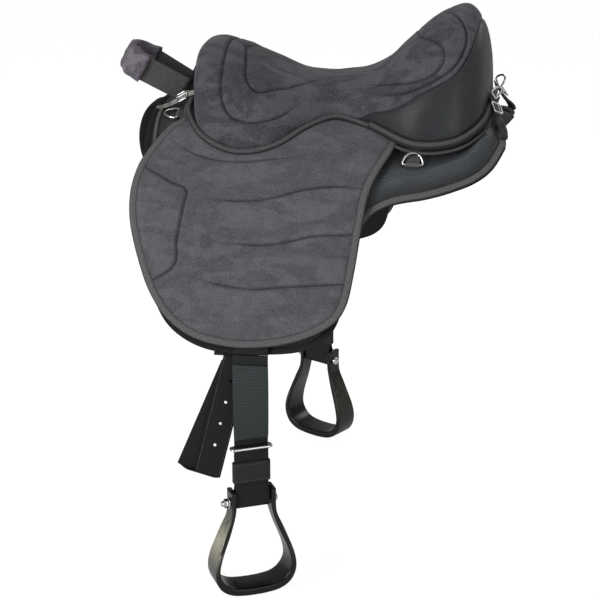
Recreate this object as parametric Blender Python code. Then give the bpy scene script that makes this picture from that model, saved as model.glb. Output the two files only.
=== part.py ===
"""A treeless saddle of the bareback pad kind, with its flaps, stirrups and fittings.

Metres, +X towards the cantle, near side at -Y, +Z up. The origin lies on the underside, on the horse's spine,
above the stirrups. Every layer is cut flat and laid over the back: x runs along the spine, s runs around the
back from the spine, and h is the height above the lowest layer's underside.
"""
import math

import bmesh
import bpy
from mathutils import Matrix, Vector

# The back that the saddle lies on
BACK_RADIUS = 0.225
FLARE = math.radians(64)
BEND_END = BACK_RADIUS * FLARE
BEND_STEPS = 12

# Layers, from the horse outwards
GAP = 0.0003
LINING = 0.0050
PAD = 0.0052
PAD_EDGE_THICK = 0.0042
WEBBING = 0.0015
ARCH = 0.0062
YOKE = 0.0064
STRAP = 0.0026
PAD_LOW = LINING + GAP
PAD_TOP = PAD_LOW + PAD
ARCH_LOW = PAD_TOP + GAP
YOKE_LOW = ARCH_LOW + ARCH + GAP
YOKE_TOP = YOKE_LOW + YOKE
SEAT_LOW = YOKE_TOP + 2 * GAP

# Outlines as (x, s), read from the front round to the rear
PAD_FRONT = [(-0.190, 0.0), (-0.191, 0.040), (-0.190, 0.078), (-0.187, 0.121), (-0.183, 0.157)]
PAD_SIDE = [(-0.174, 0.205), (-0.166, 0.262), (-0.157, 0.320), (-0.140, 0.371), (-0.112, 0.407), (-0.064, 0.430),
            (0.0, 0.434), (0.070, 0.426), (0.110, 0.400), (0.127, 0.350), (0.132, 0.295)]
PAD_REAR = [(0.148, 0.240), (0.181, 0.215), (0.228, 0.203), (0.262, 0.191), (0.295, 0.174), (0.317, 0.151),
            (0.330, 0.118), (0.332, 0.098), (0.320, 0.050), (0.306, 0.0)]
LINING_LEAD = 0.016
LEAD_FADES = 0.160
BINDING_WIDTH = 0.009
RIDGE_INSET = 0.026
RIDGE_SPREAD = 0.013
RIDGE_HEIGHT = 0.0065
RIDGE_FROM = 0.165

FLAP_EDGE = [(-0.116, 0.084), (-0.139, 0.098), (-0.151, 0.110), (-0.172, 0.151), (-0.184, 0.182), (-0.189, 0.220),
             (-0.184, 0.262), (-0.168, 0.312), (-0.148, 0.356), (-0.120, 0.392), (-0.080, 0.417), (-0.030, 0.427),
             (0.020, 0.425), (0.070, 0.413), (0.112, 0.390), (0.131, 0.362), (0.139, 0.315), (0.146, 0.243),
             (0.154, 0.195), (0.178, 0.137), (0.179, 0.112), (0.150, 0.084), (0.087, 0.074), (0.0, 0.076)]
YOKE_FRONT = [(-0.121, 0.0), (-0.121, 0.050), (-0.122, 0.086)]
YOKE_REAR = [(0.178, 0.137), (0.200, 0.122), (0.240, 0.112), (0.275, 0.092), (0.292, 0.050), (0.293, 0.0)]
HINGE_LINE = 0.170
HINGE_GAP = 0.0005
FLAP_BINDING = 0.011
FLAP_EDGE_THICK = 0.0062
FLAP_CROWN = 0.0042
CHANNELS = (0.224, 0.284, 0.344)
CHANNEL_WIDTH = 0.0055
CHANNEL_DEPTH = 0.0036
WAVE_DROP = 0.0115
WAVE_MIDDLE = 0.045
WAVE_LENGTH = 0.045
KNEE_BLOCK = [(-0.172, 0.183), (-0.125, 0.205), (-0.108, 0.216), (-0.110, 0.240), (-0.114, 0.280),
              (-0.114, 0.308), (-0.127, 0.329), (-0.148, 0.341)]

# Seat, as stations from the front wall over the pommel and the cantle to the rear wall:
# x and z of the centre line, then x and s of the lower edge
SEAT_STATIONS = [
    (-0.1265, 0.0320, -0.1270, 0.010), (-0.1275, 0.0540, -0.1262, 0.040), (-0.1250, 0.0800, -0.1228, 0.078),
    (-0.1100, 0.0990, -0.1100, 0.112), (-0.0840, 0.0980, -0.0860, 0.135), (-0.0520, 0.0855, -0.0520, 0.150),
    (-0.0180, 0.0710, -0.0180, 0.149), (0.0160, 0.0575, 0.0160, 0.134), (0.0480, 0.0545, 0.0480, 0.104),
    (0.0850, 0.0565, 0.0870, 0.081), (0.1200, 0.0630, 0.1280, 0.093), (0.1500, 0.0770, 0.1620, 0.111),
    (0.1780, 0.1040, 0.1980, 0.129), (0.2100, 0.1340, 0.2300, 0.132), (0.2450, 0.1560, 0.2620, 0.124),
    (0.2680, 0.1585, 0.2820, 0.108), (0.2880, 0.1350, 0.2950, 0.086), (0.2980, 0.0950, 0.2995, 0.056),
    (0.3005, 0.0550, 0.3012, 0.028), (0.3015, 0.0320, 0.3016, 0.010)]
SEAT_RIM = 0.0030
SEAT_FULLNESS = 0.90
SEAT_STEPS = 2
SEAT_ACROSS = 11
SEAM = [(0.088, 0.112), (0.112, 0.096), (0.168, 0.109), (0.199, 0.123), (0.220, 0.121), (0.240, 0.114),
        (0.262, 0.099), (0.276, 0.080), (0.285, 0.055), (0.291, 0.028), (0.292, 0.0)]
# Sewn channels of the seat as (station, share of the way from the centre line to the edge)
SEAT_CHANNELS = [
    [(3.3, 0.0), (3.2, 0.30), (3.4, 0.55), (4.0, 0.68), (5.2, 0.74), (6.4, 0.74), (8.0, 0.74), (9.2, 0.72)],
    [(4.4, 0.0), (4.3, 0.22), (4.7, 0.40), (5.6, 0.48), (6.6, 0.47), (8.0, 0.42)],
    [(13.6, 0.0), (14.2, 0.18), (14.9, 0.36), (14.8, 0.54), (14.2, 0.63), (13.0, 0.66), (11.8, 0.64), (10.8, 0.60)],
    [(12.5, 0.0), (12.9, 0.22), (13.6, 0.42), (13.5, 0.57), (12.5, 0.59), (11.4, 0.53), (10.4, 0.44)]]
SEAT_CHANNEL_WIDTH = 0.0080
SEAT_CHANNEL_DEPTH = 0.0040
PIPING_RADIUS = 0.0037
PIPING_END = 10.4
CANTLE_BINDING_HALF = (0.0037, 0.0062)

# Stiffening arches under the yoke, as (first x, last x, s)
POMMEL_ARCH = (-0.100, -0.058, 0.145)
CANTLE_ARCH = (0.210, 0.252, 0.104)

# Stirrup hanging
STRAP_X = 0.002
STRAP_WIDTH = 0.050
RING_BAR = 0.009
RING_THICK = 0.0022
RING_UPPER = 0.257
RING_OPENING = 0.021
RING_CLEARANCE = 0.004
RING_SIDE = 0.0045
RING_INNER_HALF = STRAP_WIDTH / 2 + RING_CLEARANCE
RING_OUTER_HALF = RING_INNER_HALF + RING_SIDE
STRAP_SLOT_HALF = 0.0132
LOOP_WALL = 0.0018
STRAP_LAYER = 0.0139
FALL_START = 0.4372
FALL_END = -0.4203
TAIL_TOP = -0.300
TAIL_HEM = -0.410
TWIST = math.radians(29)
BOLT_Z = -0.505
SLIDE_BUCKLE_Z = -0.4235
SLIDE_BUCKLE_WIRE = 0.0021
KEEPER_LOW = -0.4755
KEEPER_HIGH = -0.4445
KEEPER_WALL = 0.0022
LOOP_HALF = 0.0028
LOOP_ROUND = 0.0096
BOLT_RADIUS = 0.0040
STIRRUP_OUTER = [(0.0330, 0.0180), (0.0330, -0.0085), (0.0352, -0.0220), (0.0425, -0.0390), (0.0505, -0.0600),
                 (0.0575, -0.0800), (0.0608, -0.0990), (0.0585, -0.1150), (0.0500, -0.1285), (0.0350, -0.1370),
                 (0.0160, -0.1400), (0.0, -0.1405)]
STIRRUP_INNER = [(0.0, -0.1295), (0.0150, -0.1290), (0.0310, -0.1265), (0.0430, -0.1200), (0.0510, -0.1090),
                 (0.0535, -0.0970), (0.0505, -0.0810), (0.0440, -0.0630), (0.0360, -0.0440), (0.0290, -0.0230),
                 (0.0260, -0.0070), (0.0260, 0.0180)]
STIRRUP_EYE_HALF = 0.0260
STIRRUP_EYE_CLEARANCE = 0.0010
STIRRUP_DEPTH = (0.027, 0.044)
STIRRUP_FLARE = (-0.010, -0.100)

# Girth billets
BILLET_WIDTH = 0.038
BILLET_THICK = 0.0024
BILLET_TILT = math.radians(14)
BILLET_TOP_X = -0.019
BILLET_LENGTH = 0.186
BILLET_SHIFT = 0.028
BILLET_BEND = 0.0032
BILLET_ROOT = (-0.052, 0.012, 0.396, 0.4375)
BILLET_HOLE = 0.0022
BILLET_HOLES = 4
FIRST_HOLE = 0.037
HOLE_PITCH = 0.034

# Dee rings, buckles and small straps
DEE_WIRE = 0.0018
TAB_PLY = 0.0015
FRONT_DEE = dict(x=-0.1475, s=0.072, width=0.026, reach=0.021)
SIDE_DEE = dict(x=0.2065, s=0.156, width=0.029, reach=0.017, lift=math.radians(25))
REAR_DEE = dict(width=0.020, reach=0.016)
BUCKLE_WIRE = 0.0012
BUCKLE_HALF = 0.0085
TONGUE_RADIUS = 0.0009
LACE_THICK = 0.0022
FRONT_LACE = dict(width=0.009, seat=3,
                  path=[(-0.1860, 0.051, 0.0112), (-0.1730, 0.052, 0.0140), (-0.1585, 0.0525, 0.0212),
                        (-0.1450, 0.052, 0.0285), (-0.1340, 0.051, 0.0350), (-0.1270, 0.0505, 0.0372)])
REAR_LACE = dict(width=0.012, seat=2, clear=0.0010,
                 path=[(0.3052, 0.036, 0.0430), (0.3080, 0.044, 0.0370), (0.3133, 0.055, 0.0302),
                       (0.3192, 0.068, 0.0225), (0.3270, 0.084, 0.0158), (0.3292, 0.100, 0.0112)])

# Grab handle, in its own plane: forwards from where it leaves the pad
HANDLE_X = -0.160
HANDLE_HALF = 0.032
HANDLE_ROOT_HALF = 0.022
HANDLE_RUN = 0.070
HANDLE_RISE = math.radians(28)
HANDLE_WIDTH = 0.038
HANDLE_THICK = 0.0026
WRAP_WALL = 0.0022

SIDES = {"near": -1, "off": 1}
COLOURS = {
    "suede": (0.098, 0.095, 0.106, 0.95, 0.0), "mesh": (0.030, 0.032, 0.035, 0.85, 0.0),
    "webbing": (0.060, 0.060, 0.062, 0.80, 0.0), "black_webbing": (0.020, 0.021, 0.022, 0.75, 0.0),
    "tail_webbing": (0.040, 0.050, 0.052, 0.70, 0.0), "lining": (0.008, 0.008, 0.008, 0.80, 0.0),
    "leather": (0.030, 0.029, 0.032, 0.55, 0.0), "pale_leather": (0.300, 0.290, 0.280, 0.50, 0.0),
    "plastic": (0.012, 0.013, 0.013, 0.32, 0.0), "steel": (0.620, 0.620, 0.630, 0.20, 1.0),
    "foam": (0.050, 0.050, 0.052, 0.90, 0.0), "wrap_suede": (0.230, 0.205, 0.235, 0.95, 0.0)}


def lay(x, s, h):
    """A place on the saddle from x along the back, s around it and h above its underside."""
    side = 1 if s >= 0 else -1
    reach = abs(s)
    facet = min(BEND_STEPS - 1, int(reach / BEND_END * BEND_STEPS))
    share = min(1.0, reach / BEND_END * BEND_STEPS - facet)
    upper, lower = FLARE * facet / BEND_STEPS, FLARE * (facet + 1) / BEND_STEPS
    beyond = max(0.0, reach - BEND_END)
    sine = math.sin(upper) * (1 - share) + math.sin(lower) * share
    cosine = math.cos(upper) * (1 - share) + math.cos(lower) * share
    y = (BACK_RADIUS + h) * sine + beyond * math.cos(FLARE)
    z = (BACK_RADIUS + h) * cosine - BACK_RADIUS - beyond * math.sin(FLARE)
    return Vector((x, side * y, z))


def frame_at(s):
    """Directions down the slope and away from the surface at s."""
    side = 1 if s >= 0 else -1
    turn = min(abs(s) / BACK_RADIUS, FLARE)
    down = Vector((0, side * math.cos(turn), -math.sin(turn)))
    away = Vector((0, side * math.sin(turn), math.cos(turn)))
    return down, away


def between(points, place):
    """A smooth curve through points of any dimension, read at a real-numbered place along them."""
    last = len(points) - 1
    start = max(0, min(last - 1, int(math.floor(place))))
    t = place - start
    near = [points[max(0, min(last, start + k))] for k in (-1, 0, 1, 2)]
    result = []
    for a, b, c, d in zip(*near):
        result.append(0.5 * (2 * b + (c - a) * t + (2 * a - 5 * b + 4 * c - d) * t * t
                             + (3 * b - a - 3 * c + d) * t ** 3))
    return tuple(result)


def smooth_open(points, steps):
    """Points along the smooth open curve, with the given steps in each span."""
    count = (len(points) - 1) * steps
    return [between(points, i / steps) for i in range(count + 1)]


def smooth_closed(points, steps):
    """Points along the smooth closed curve."""
    wrapped = [points[-1]] + points + points[:2]
    return [between(wrapped, 1 + i / steps) for i in range(len(points) * steps)]


def mirrored(half):
    """A closed outline from its half at s >= 0 that starts and ends on the spine."""
    return half + [(x, -s) for x, s in reversed(half) if s > 1e-6]


def inset(points, distance):
    """The closed outline drawn in by a distance, or let out where the distance is negative."""
    area = sum(a[0] * b[1] - b[0] * a[1] for a, b in zip(points, points[1:] + points[:1]))
    turn = 1 if area > 0 else -1
    result = []
    for before, here, after in zip([points[-1]] + points[:-1], points, points[1:] + [points[0]]):
        along = Vector((after[0] - before[0], after[1] - before[1])).normalized()
        result.append((here[0] - turn * along.y * distance, here[1] + turn * along.x * distance))
    return result


def away_from(point, line, closed=False):
    """The distance from a point to a line of points."""
    ends = line[1:] + ([line[0]] if closed else [])
    best = 1e9
    target = Vector(point)
    for a, b in zip(line, ends):
        start = Vector(a)
        span = Vector(b) - start
        share = max(0.0, min(1.0, (target - start).dot(span) / max(span.length_squared, 1e-12)))
        best = min(best, (target - start - span * share).length)
    return best


def material(name):
    """The material of that name, made when it is first asked for."""
    found = bpy.data.materials.get(name)
    if found:
        return found
    red, green, blue, roughness, metallic = COLOURS[name]
    made = bpy.data.materials.new(name)
    made.use_nodes = True
    shader = made.node_tree.nodes["Principled BSDF"]
    shader.inputs["Base Color"].default_value = (red, green, blue, 1.0)
    shader.inputs["Roughness"].default_value = roughness
    shader.inputs["Metallic"].default_value = metallic
    made.diffuse_color = (red, green, blue, 1.0)
    return made


def keep(name, bm, finish, collection):
    """Turn a bmesh into the object of that name."""
    bmesh.ops.remove_doubles(bm, verts=bm.verts, dist=0.00001)
    bmesh.ops.dissolve_degenerate(bm, edges=bm.edges, dist=0.000005)
    bmesh.ops.recalc_face_normals(bm, faces=bm.faces)
    bmesh.ops.triangulate(bm, faces=[face for face in bm.faces if len(face.verts) > 3])
    mesh = bpy.data.meshes.new(name)
    bm.to_mesh(mesh)
    bm.free()
    mesh.materials.append(material(finish))
    mesh.shade_smooth()
    mesh.set_sharp_from_angle(angle=math.radians(35))
    made = bpy.data.objects.new(name, mesh)
    collection.objects.link(made)
    return made


def prism(loops, low, high):
    """A solid between two heights over closed loops, the second and later ones being holes."""
    curve = bpy.data.curves.new("outline", "CURVE")
    curve.dimensions = "2D"
    curve.fill_mode = "BOTH"
    curve.extrude = (high - low) / 2
    for loop in loops:
        spline = curve.splines.new("POLY")
        spline.points.add(len(loop) - 1)
        for point, (a, b) in zip(spline.points, loop):
            point.co = (a, b, 0, 1)
        spline.use_cyclic_u = True
    flat = bpy.data.objects.new("outline", curve)
    bpy.context.scene.collection.objects.link(flat)
    bpy.context.view_layer.update()
    mesh = bpy.data.meshes.new_from_object(flat.evaluated_get(bpy.context.evaluated_depsgraph_get()))
    bm = bmesh.new()
    bm.from_mesh(mesh)
    bmesh.ops.translate(bm, verts=bm.verts, vec=(0, 0, (low + high) / 2))
    bmesh.ops.remove_doubles(bm, verts=bm.verts, dist=0.00002)
    bmesh.ops.dissolve_limit(bm, angle_limit=math.radians(0.4), verts=bm.verts, edges=bm.edges)
    bpy.data.objects.remove(flat)
    bpy.data.curves.remove(curve)
    bpy.data.meshes.remove(mesh)
    return bm


def cut_across(bm, axis, places, faces=None):
    """Add edge lines at places along an axis, on all faces or on those that a test accepts."""
    normal = Vector((0, 0, 0))
    normal[axis] = 1
    for place in places:
        point = Vector((0, 0, 0))
        point[axis] = place
        chosen = [face for face in bm.faces if faces is None or faces(face)]
        edges = list({edge for face in chosen for edge in face.edges})
        verts = list({vert for face in chosen for vert in face.verts})
        bmesh.ops.bisect_plane(bm, geom=verts + edges + chosen, dist=1e-7, plane_co=point, plane_no=normal)


def slice_off(bm, axis, place, keep_above):
    """Remove what lies on one side of a place along an axis, and close the cut."""
    normal = Vector((0, 0, 0))
    normal[axis] = 1
    point = Vector((0, 0, 0))
    point[axis] = place
    bmesh.ops.bisect_plane(bm, geom=bm.verts[:] + bm.edges[:] + bm.faces[:], dist=1e-7, plane_co=point,
                           plane_no=normal, clear_inner=keep_above, clear_outer=not keep_above)
    bmesh.ops.holes_fill(bm, edges=[edge for edge in bm.edges if edge.is_boundary], sides=0)


def lay_out(bm, order=(0, 1, 2), faces=None):
    """Move flat places onto the saddle, where order tells which coordinates are x, s and h."""
    reached = [vert.co[order[1]] for vert in bm.verts]
    lines = [BEND_END * k / BEND_STEPS for k in range(-BEND_STEPS, BEND_STEPS + 1)]
    cut_across(bm, order[1], [line for line in lines if min(reached) < line < max(reached)], faces)
    for vert in bm.verts:
        flat = vert.co.copy()
        vert.co = lay(flat[order[0]], flat[order[1]], flat[order[2]])


def loft(bm, rings, closed=False):
    """Join rings of the same count with quads, and close the two ends unless it runs round."""
    pairs = list(zip(rings, rings[1:] + ([rings[0]] if closed else [])))
    for first, second in pairs[:len(rings) if closed else len(rings) - 1]:
        count = len(first)
        for k in range(count):
            bm.faces.new((first[k], first[(k + 1) % count], second[(k + 1) % count], second[k]))
    if not closed:
        bm.faces.new(list(reversed(rings[0])))
        bm.faces.new(rings[-1])


def ribbon(name, stations, width, thickness, finish, collection):
    """A flat strap through stations of centre, direction across it and direction of its face."""
    bm = bmesh.new()
    rings = []
    for centre, across, face in stations:
        corners = ((-1, -1), (1, -1), (1, 1), (-1, 1))
        rings.append([bm.verts.new(centre + across * (i * width / 2) + face * (j * thickness / 2))
                      for i, j in corners])
    loft(bm, rings)
    return keep(name, bm, finish, collection)


def wire(name, points, radius, finish, collection, cyclic=True, resolution=2):
    """A round wire through points."""
    curve = bpy.data.curves.new(name, "CURVE")
    curve.dimensions = "3D"
    curve.bevel_depth = radius
    curve.bevel_resolution = resolution
    curve.use_fill_caps = not cyclic
    spline = curve.splines.new("POLY")
    spline.points.add(len(points) - 1)
    for point, place in zip(spline.points, points):
        point.co = (*place, 1)
    spline.use_cyclic_u = cyclic
    bent = bpy.data.objects.new(name, curve)
    bpy.context.scene.collection.objects.link(bent)
    bpy.context.view_layer.update()
    mesh = bpy.data.meshes.new_from_object(bent.evaluated_get(bpy.context.evaluated_depsgraph_get()))
    bm = bmesh.new()
    bm.from_mesh(mesh)
    bpy.data.objects.remove(bent)
    bpy.data.curves.remove(curve)
    bpy.data.meshes.remove(mesh)
    return keep(name, bm, finish, collection)


def boolean(target, tool, operation):
    """Cut or join a mesh object with another, which is then removed."""
    change = target.modifiers.new("cut", "BOOLEAN")
    change.operation = operation
    change.object = tool
    change.solver = "EXACT"
    bpy.context.view_layer.update()
    result = bpy.data.meshes.new_from_object(target.evaluated_get(bpy.context.evaluated_depsgraph_get()))
    target.modifiers.clear()
    old = target.data
    target.data = result
    bpy.data.meshes.remove(old)
    bpy.data.objects.remove(tool)
    return target


def tidy_cut(piece, weld):
    """Merge the slivers that a cut through a smooth form leaves."""
    bm = bmesh.new()
    bm.from_mesh(piece.data)
    bmesh.ops.remove_doubles(bm, verts=bm.verts, dist=weld)
    bmesh.ops.dissolve_degenerate(bm, edges=bm.edges, dist=weld)
    bmesh.ops.triangulate(bm, faces=[face for face in bm.faces if len(face.verts) > 3])
    bm.to_mesh(piece.data)
    bm.free()


def round_bar(start, end, radius, sides=16, end_radius=None):
    """A bmesh cylinder or cone between two places."""
    bm = bmesh.new()
    span = Vector(end) - Vector(start)
    bmesh.ops.create_cone(bm, cap_ends=True, segments=sides, radius1=radius,
                          radius2=radius if end_radius is None else end_radius, depth=span.length)
    turn = span.to_track_quat("Z", "Y").to_matrix().to_4x4()
    bmesh.ops.transform(bm, verts=bm.verts, matrix=Matrix.Translation((Vector(start) + Vector(end)) / 2) @ turn)
    return bm


def turned(name, centre, axis, profile, finish, collection):
    """A round piece along an axis, from (distance, radius, whether the section is a hexagon)."""
    first = axis.orthogonal().normalized()
    second = axis.cross(first)
    bm = bmesh.new()
    rings = []
    for distance, radius, hexagon in profile:
        ring = []
        for k in range(18):
            turn = math.radians(20 * k)
            if hexagon:
                corner = math.radians(60 * (k // 3))
                ahead = corner + math.radians(60)
                share = (k % 3) / 3
                a = math.cos(corner) * (1 - share) + math.cos(ahead) * share
                b = math.sin(corner) * (1 - share) + math.sin(ahead) * share
            else:
                a, b = math.cos(turn), math.sin(turn)
            ring.append(bm.verts.new(centre + axis * distance + (first * a + second * b) * radius))
        rings.append(ring)
    loft(bm, rings)
    return keep(name, bm, finish, collection)


def pivot(name, place, collection):
    """An empty on a joint's axis, which carries what moves there."""
    empty = bpy.data.objects.new(name, None)
    empty.empty_display_size = 0.02
    empty.location = place
    collection.objects.link(empty)
    return empty


def hang(carrier, *pieces):
    """Parent pieces that were made in place to a carrier, with their origins on it."""
    bpy.context.view_layer.update()
    place = carrier.matrix_world.translation
    for piece in pieces:
        if piece.type == "MESH":
            piece.data.transform(Matrix.Translation(-place))
            piece.location = (0, 0, 0)
        else:
            piece.location = piece.location - place
        piece.parent = carrier


def laid_layer(name, loops, low, high, finish, collection):
    """A layer of even thickness laid over the back."""
    bm = prism(loops, low, high)
    lay_out(bm)
    return keep(name, bm, finish, collection)


def pad_outline(lead=0.0, draw_in=0.0):
    """The under pad's closed outline, with its front led forwards and the whole drawn in."""
    front = [(x - lead * max(0.0, 1 - (s / LEAD_FADES) ** 4), s) for x, s in PAD_FRONT]
    half = front + PAD_SIDE + PAD_REAR
    outline = smooth_closed(mirrored(half), 2)
    return inset(outline, draw_in) if draw_in else outline


def make_pad(collection):
    """Lining, under pad with its rolled rear edge, and the binding round it."""
    laid_layer("lining", [pad_outline(LINING_LEAD, 0.0015)], 0.0, LINING, "lining", collection)
    lining = collection.objects["lining"]
    for side in SIDES.values():
        first, last, upper, lower = BILLET_ROOT
        loop = [(first - GAP, side * (upper - GAP)), (last + GAP, side * (upper - GAP)),
                (last + GAP, side * 0.45), (first - GAP, side * 0.45)]
        notch = prism([loop], LINING - BILLET_THICK - 2 * GAP, LINING + GAP)
        lay_out(notch)
        boolean(lining, keep("notch", notch, "lining", collection), "DIFFERENCE")

    edge = pad_outline()
    inner = inset(edge, BINDING_WIDTH)
    laid_layer("under_pad_binding", [edge, inner], PAD_LOW, PAD_LOW + PAD_EDGE_THICK, "webbing", collection)

    bm = prism([inset(edge, BINDING_WIDTH + GAP)], PAD_LOW, PAD_TOP)
    top = PAD_TOP - 0.0001

    def rear_top(face):
        return face.normal.z > 0.5 and face.calc_center_median().z > top

    def rolled_top(face):
        return rear_top(face) and face.calc_center_median().x > RIDGE_FROM - 0.02

    cut_across(bm, 0, [RIDGE_FROM - 0.02], rear_top)
    cut_across(bm, 0, [RIDGE_FROM + 0.014 * k for k in range(12)], rolled_top)
    across = (0.035, 0.070, 0.095, 0.115, 0.135, 0.156, 0.167, 0.179, 0.190)
    cut_across(bm, 1, [side * place for place in across for side in (-1, 1)], rolled_top)
    line = edge
    for vert in bm.verts:
        if vert.co.z > top and vert.co.x > RIDGE_FROM:
            gap = away_from(vert.co.xy, line, closed=True)
            rise = max(0.0, 1.1 * math.exp(-((gap - RIDGE_INSET) / RIDGE_SPREAD) ** 2) - 0.1)
            fade = min(1.0, (vert.co.x - RIDGE_FROM) / 0.030) * min(1.0, abs(vert.co.y) / 0.090)
            vert.co.z += RIDGE_HEIGHT * rise * fade
    lay_out(bm)
    keep("under_pad", bm, "mesh", collection)


def make_inside(collection):
    """The yoke that joins the flaps, the two arches and the webbing that carries the stirrups."""
    below = [(x, s) for x, s in FLAP_EDGE if s > 0.10 and (x < 0.0 or s > 0.14)]
    yoke = prism([smooth_closed(mirrored(YOKE_FRONT + below + YOKE_REAR), 2)], YOKE_LOW, YOKE_TOP)
    slice_off(yoke, 1, HINGE_LINE - HINGE_GAP, False)
    slice_off(yoke, 1, -HINGE_LINE + HINGE_GAP, True)
    lay_out(yoke)
    keep("flap_yoke", yoke, "suede", collection)

    for name, (first, last, reach) in (("pommel_arch", POMMEL_ARCH), ("cantle_arch", CANTLE_ARCH)):
        loop = [(first, -reach), (last, -reach), (last, reach), (first, reach)]
        laid_layer(name, [loop], ARCH_LOW, ARCH_LOW + ARCH, "foam", collection)

    middle = RING_UPPER + RING_BAR / 2
    slot_half = RING_BAR / 2 + 0.0008
    slot_low = ARCH_LOW + WEBBING
    slot_high = slot_low + RING_THICK + 2 * GAP
    top = slot_high + WEBBING
    end = middle + slot_half + LOOP_WALL
    thin = ARCH_LOW + WEBBING
    folded = RING_UPPER - 0.020
    outline = [(-end, ARCH_LOW), (end, ARCH_LOW), (end, top), (folded, top), (folded - 0.008, thin),
               (0.008 - folded, thin), (-folded, top), (-end, top)]
    slots = [[(side * (middle - slot_half), slot_low), (side * (middle + slot_half), slot_low),
              (side * (middle + slot_half), slot_high), (side * (middle - slot_half), slot_high)]
             for side in (-1, 1)]
    bm = prism([outline] + slots, STRAP_X - STRAP_WIDTH / 2, STRAP_X + STRAP_WIDTH / 2)
    lay_out(bm, (2, 0, 1))
    keep("stirrup_webbing", bm, "black_webbing", collection)


def seat_point(place, share, side):
    """A point of the seat's upper surface, from its station and the share of the way to the edge."""
    centre_x, centre_z, edge_x, edge_s = between(SEAT_STATIONS, place)
    edge = lay(edge_x, max(edge_s, 0.0), SEAT_LOW + SEAT_RIM)
    turn = share * math.pi / 2
    inward = max(0.0, math.cos(turn)) ** SEAT_FULLNESS
    outward = math.sin(turn) ** SEAT_FULLNESS
    return Vector((edge.x + (centre_x - edge.x) * inward, side * edge.y * outward,
                   edge.z + (centre_z - edge.z) * inward))


def seat_grooves():
    """The seat's sewn channels as lines in space, on both sides."""
    lines = []
    for channel in SEAT_CHANNELS:
        for side in (-1, 1):
            lines.append([seat_point(place, share, side) for place, share in smooth_open(channel, 3)])
    return lines


def seat_block(name, collection):
    """The whole padded seat as one closed form."""
    grooves = seat_grooves()
    bm = bmesh.new()
    count = (len(SEAT_STATIONS) - 1) * SEAT_STEPS
    rings = []
    for i in range(count + 1):
        place = i / SEAT_STEPS
        ring = []
        for j in range(-SEAT_ACROSS, SEAT_ACROSS + 1):
            share = abs(j) / SEAT_ACROSS
            point = seat_point(place, share, -1 if j < 0 else 1)
            if abs(j) < SEAT_ACROSS:
                near = min(away_from(point, line) for line in grooves)
                depth = SEAT_CHANNEL_DEPTH * math.exp(-(near / SEAT_CHANNEL_WIDTH) ** 2)
                centre = Vector((point.x, 0, -0.05))
                point = point - (point - centre).normalized() * depth
            ring.append(bm.verts.new(point))
        edge_x, edge_s = between(SEAT_STATIONS, place)[2:]
        floor = [lay(edge_x, edge_s * k / 7, SEAT_LOW) for k in range(7, -8, -1)]
        ring += [bm.verts.new(point) for point in floor]
        rings.append(ring)
    loft(bm, rings)
    return keep(name, bm, "suede", collection)


def make_seat(collection):
    """Suede seat and mesh cantle bolster, parted along the seam, with piping and binding."""
    far = 0.26
    seam = smooth_open(SEAM, 2)
    half = [(-far, far), (seam[0][0], far)] + seam
    inside = half + [(x, -y) for x, y in reversed(half) if y > 1e-6]
    for name, grow, operation, finish in (("seat_cushion", 0.0, "INTERSECT", "suede"),
                                          ("cantle_bolster", -GAP, "DIFFERENCE", "mesh")):
        block = seat_block(name, collection)
        region = keep("region", prism([inset(inside, grow)], -0.2, 0.3), finish, collection)
        boolean(block, region, operation)
        tidy_cut(block, 0.00009)
        block.data.materials.clear()
        block.data.materials.append(material(finish))

    last = len(SEAT_STATIONS) - 1
    binding_start = PIPING_END + 0.12
    runs = (("seat_piping", 0.0, PIPING_END, (PIPING_RADIUS, PIPING_RADIUS), 6, "webbing"),
            ("cantle_binding", last, binding_start, CANTLE_BINDING_HALF, 8, "webbing"))
    for name, middle, end, halves, sides, finish in runs:
        steps = int(abs(end - middle) * 2)
        places = [(end + (middle - end) * i / steps, -1) for i in range(steps)]
        places += [(middle + (end - middle) * i / steps, 1) for i in range(steps + 1)]
        line = []
        for place, side in places:
            edge_x, edge_s = between(SEAT_STATIONS, place)[2:]
            line.append((edge_x, side * max(edge_s, 0.0)))
        bm = bmesh.new()
        rings = []
        for i, (x, s) in enumerate(line):
            before = Vector(line[max(0, i - 1)])
            after = Vector(line[min(len(line) - 1, i + 1)])
            along = (after - before).normalized()
            out = Vector((along.y, -along.x))
            if middle == 0.0:
                out = Vector((-along.y, along.x))
            if out.dot(Vector((x - 0.08, s))) < 0:
                out = -out
            height = SEAT_LOW + halves[1] + GAP
            ring = []
            for k in range(sides):
                turn = 2 * math.pi * k / sides
                push = halves[0] + 2 * GAP + halves[0] * math.cos(turn)
                ring.append(bm.verts.new(lay(x + out.x * push, s + out.y * push,
                                             height + halves[1] * math.sin(turn))))
            rings.append(ring)
        loft(bm, rings)
        keep(name, bm, finish, collection)


def wave(x, s):
    """How far the flap's channels lie from their level at x."""
    fade = max(0.0, min(1.0, (0.430 - s) / 0.146))
    return -WAVE_DROP * (1 + math.tanh((x - WAVE_MIDDLE) / WAVE_LENGTH)) * fade


def level(x, s):
    """The place on the channels' level whose wave brings it to s."""
    guess = s
    for _ in range(6):
        guess = s - wave(x, guess)
    return guess


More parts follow.
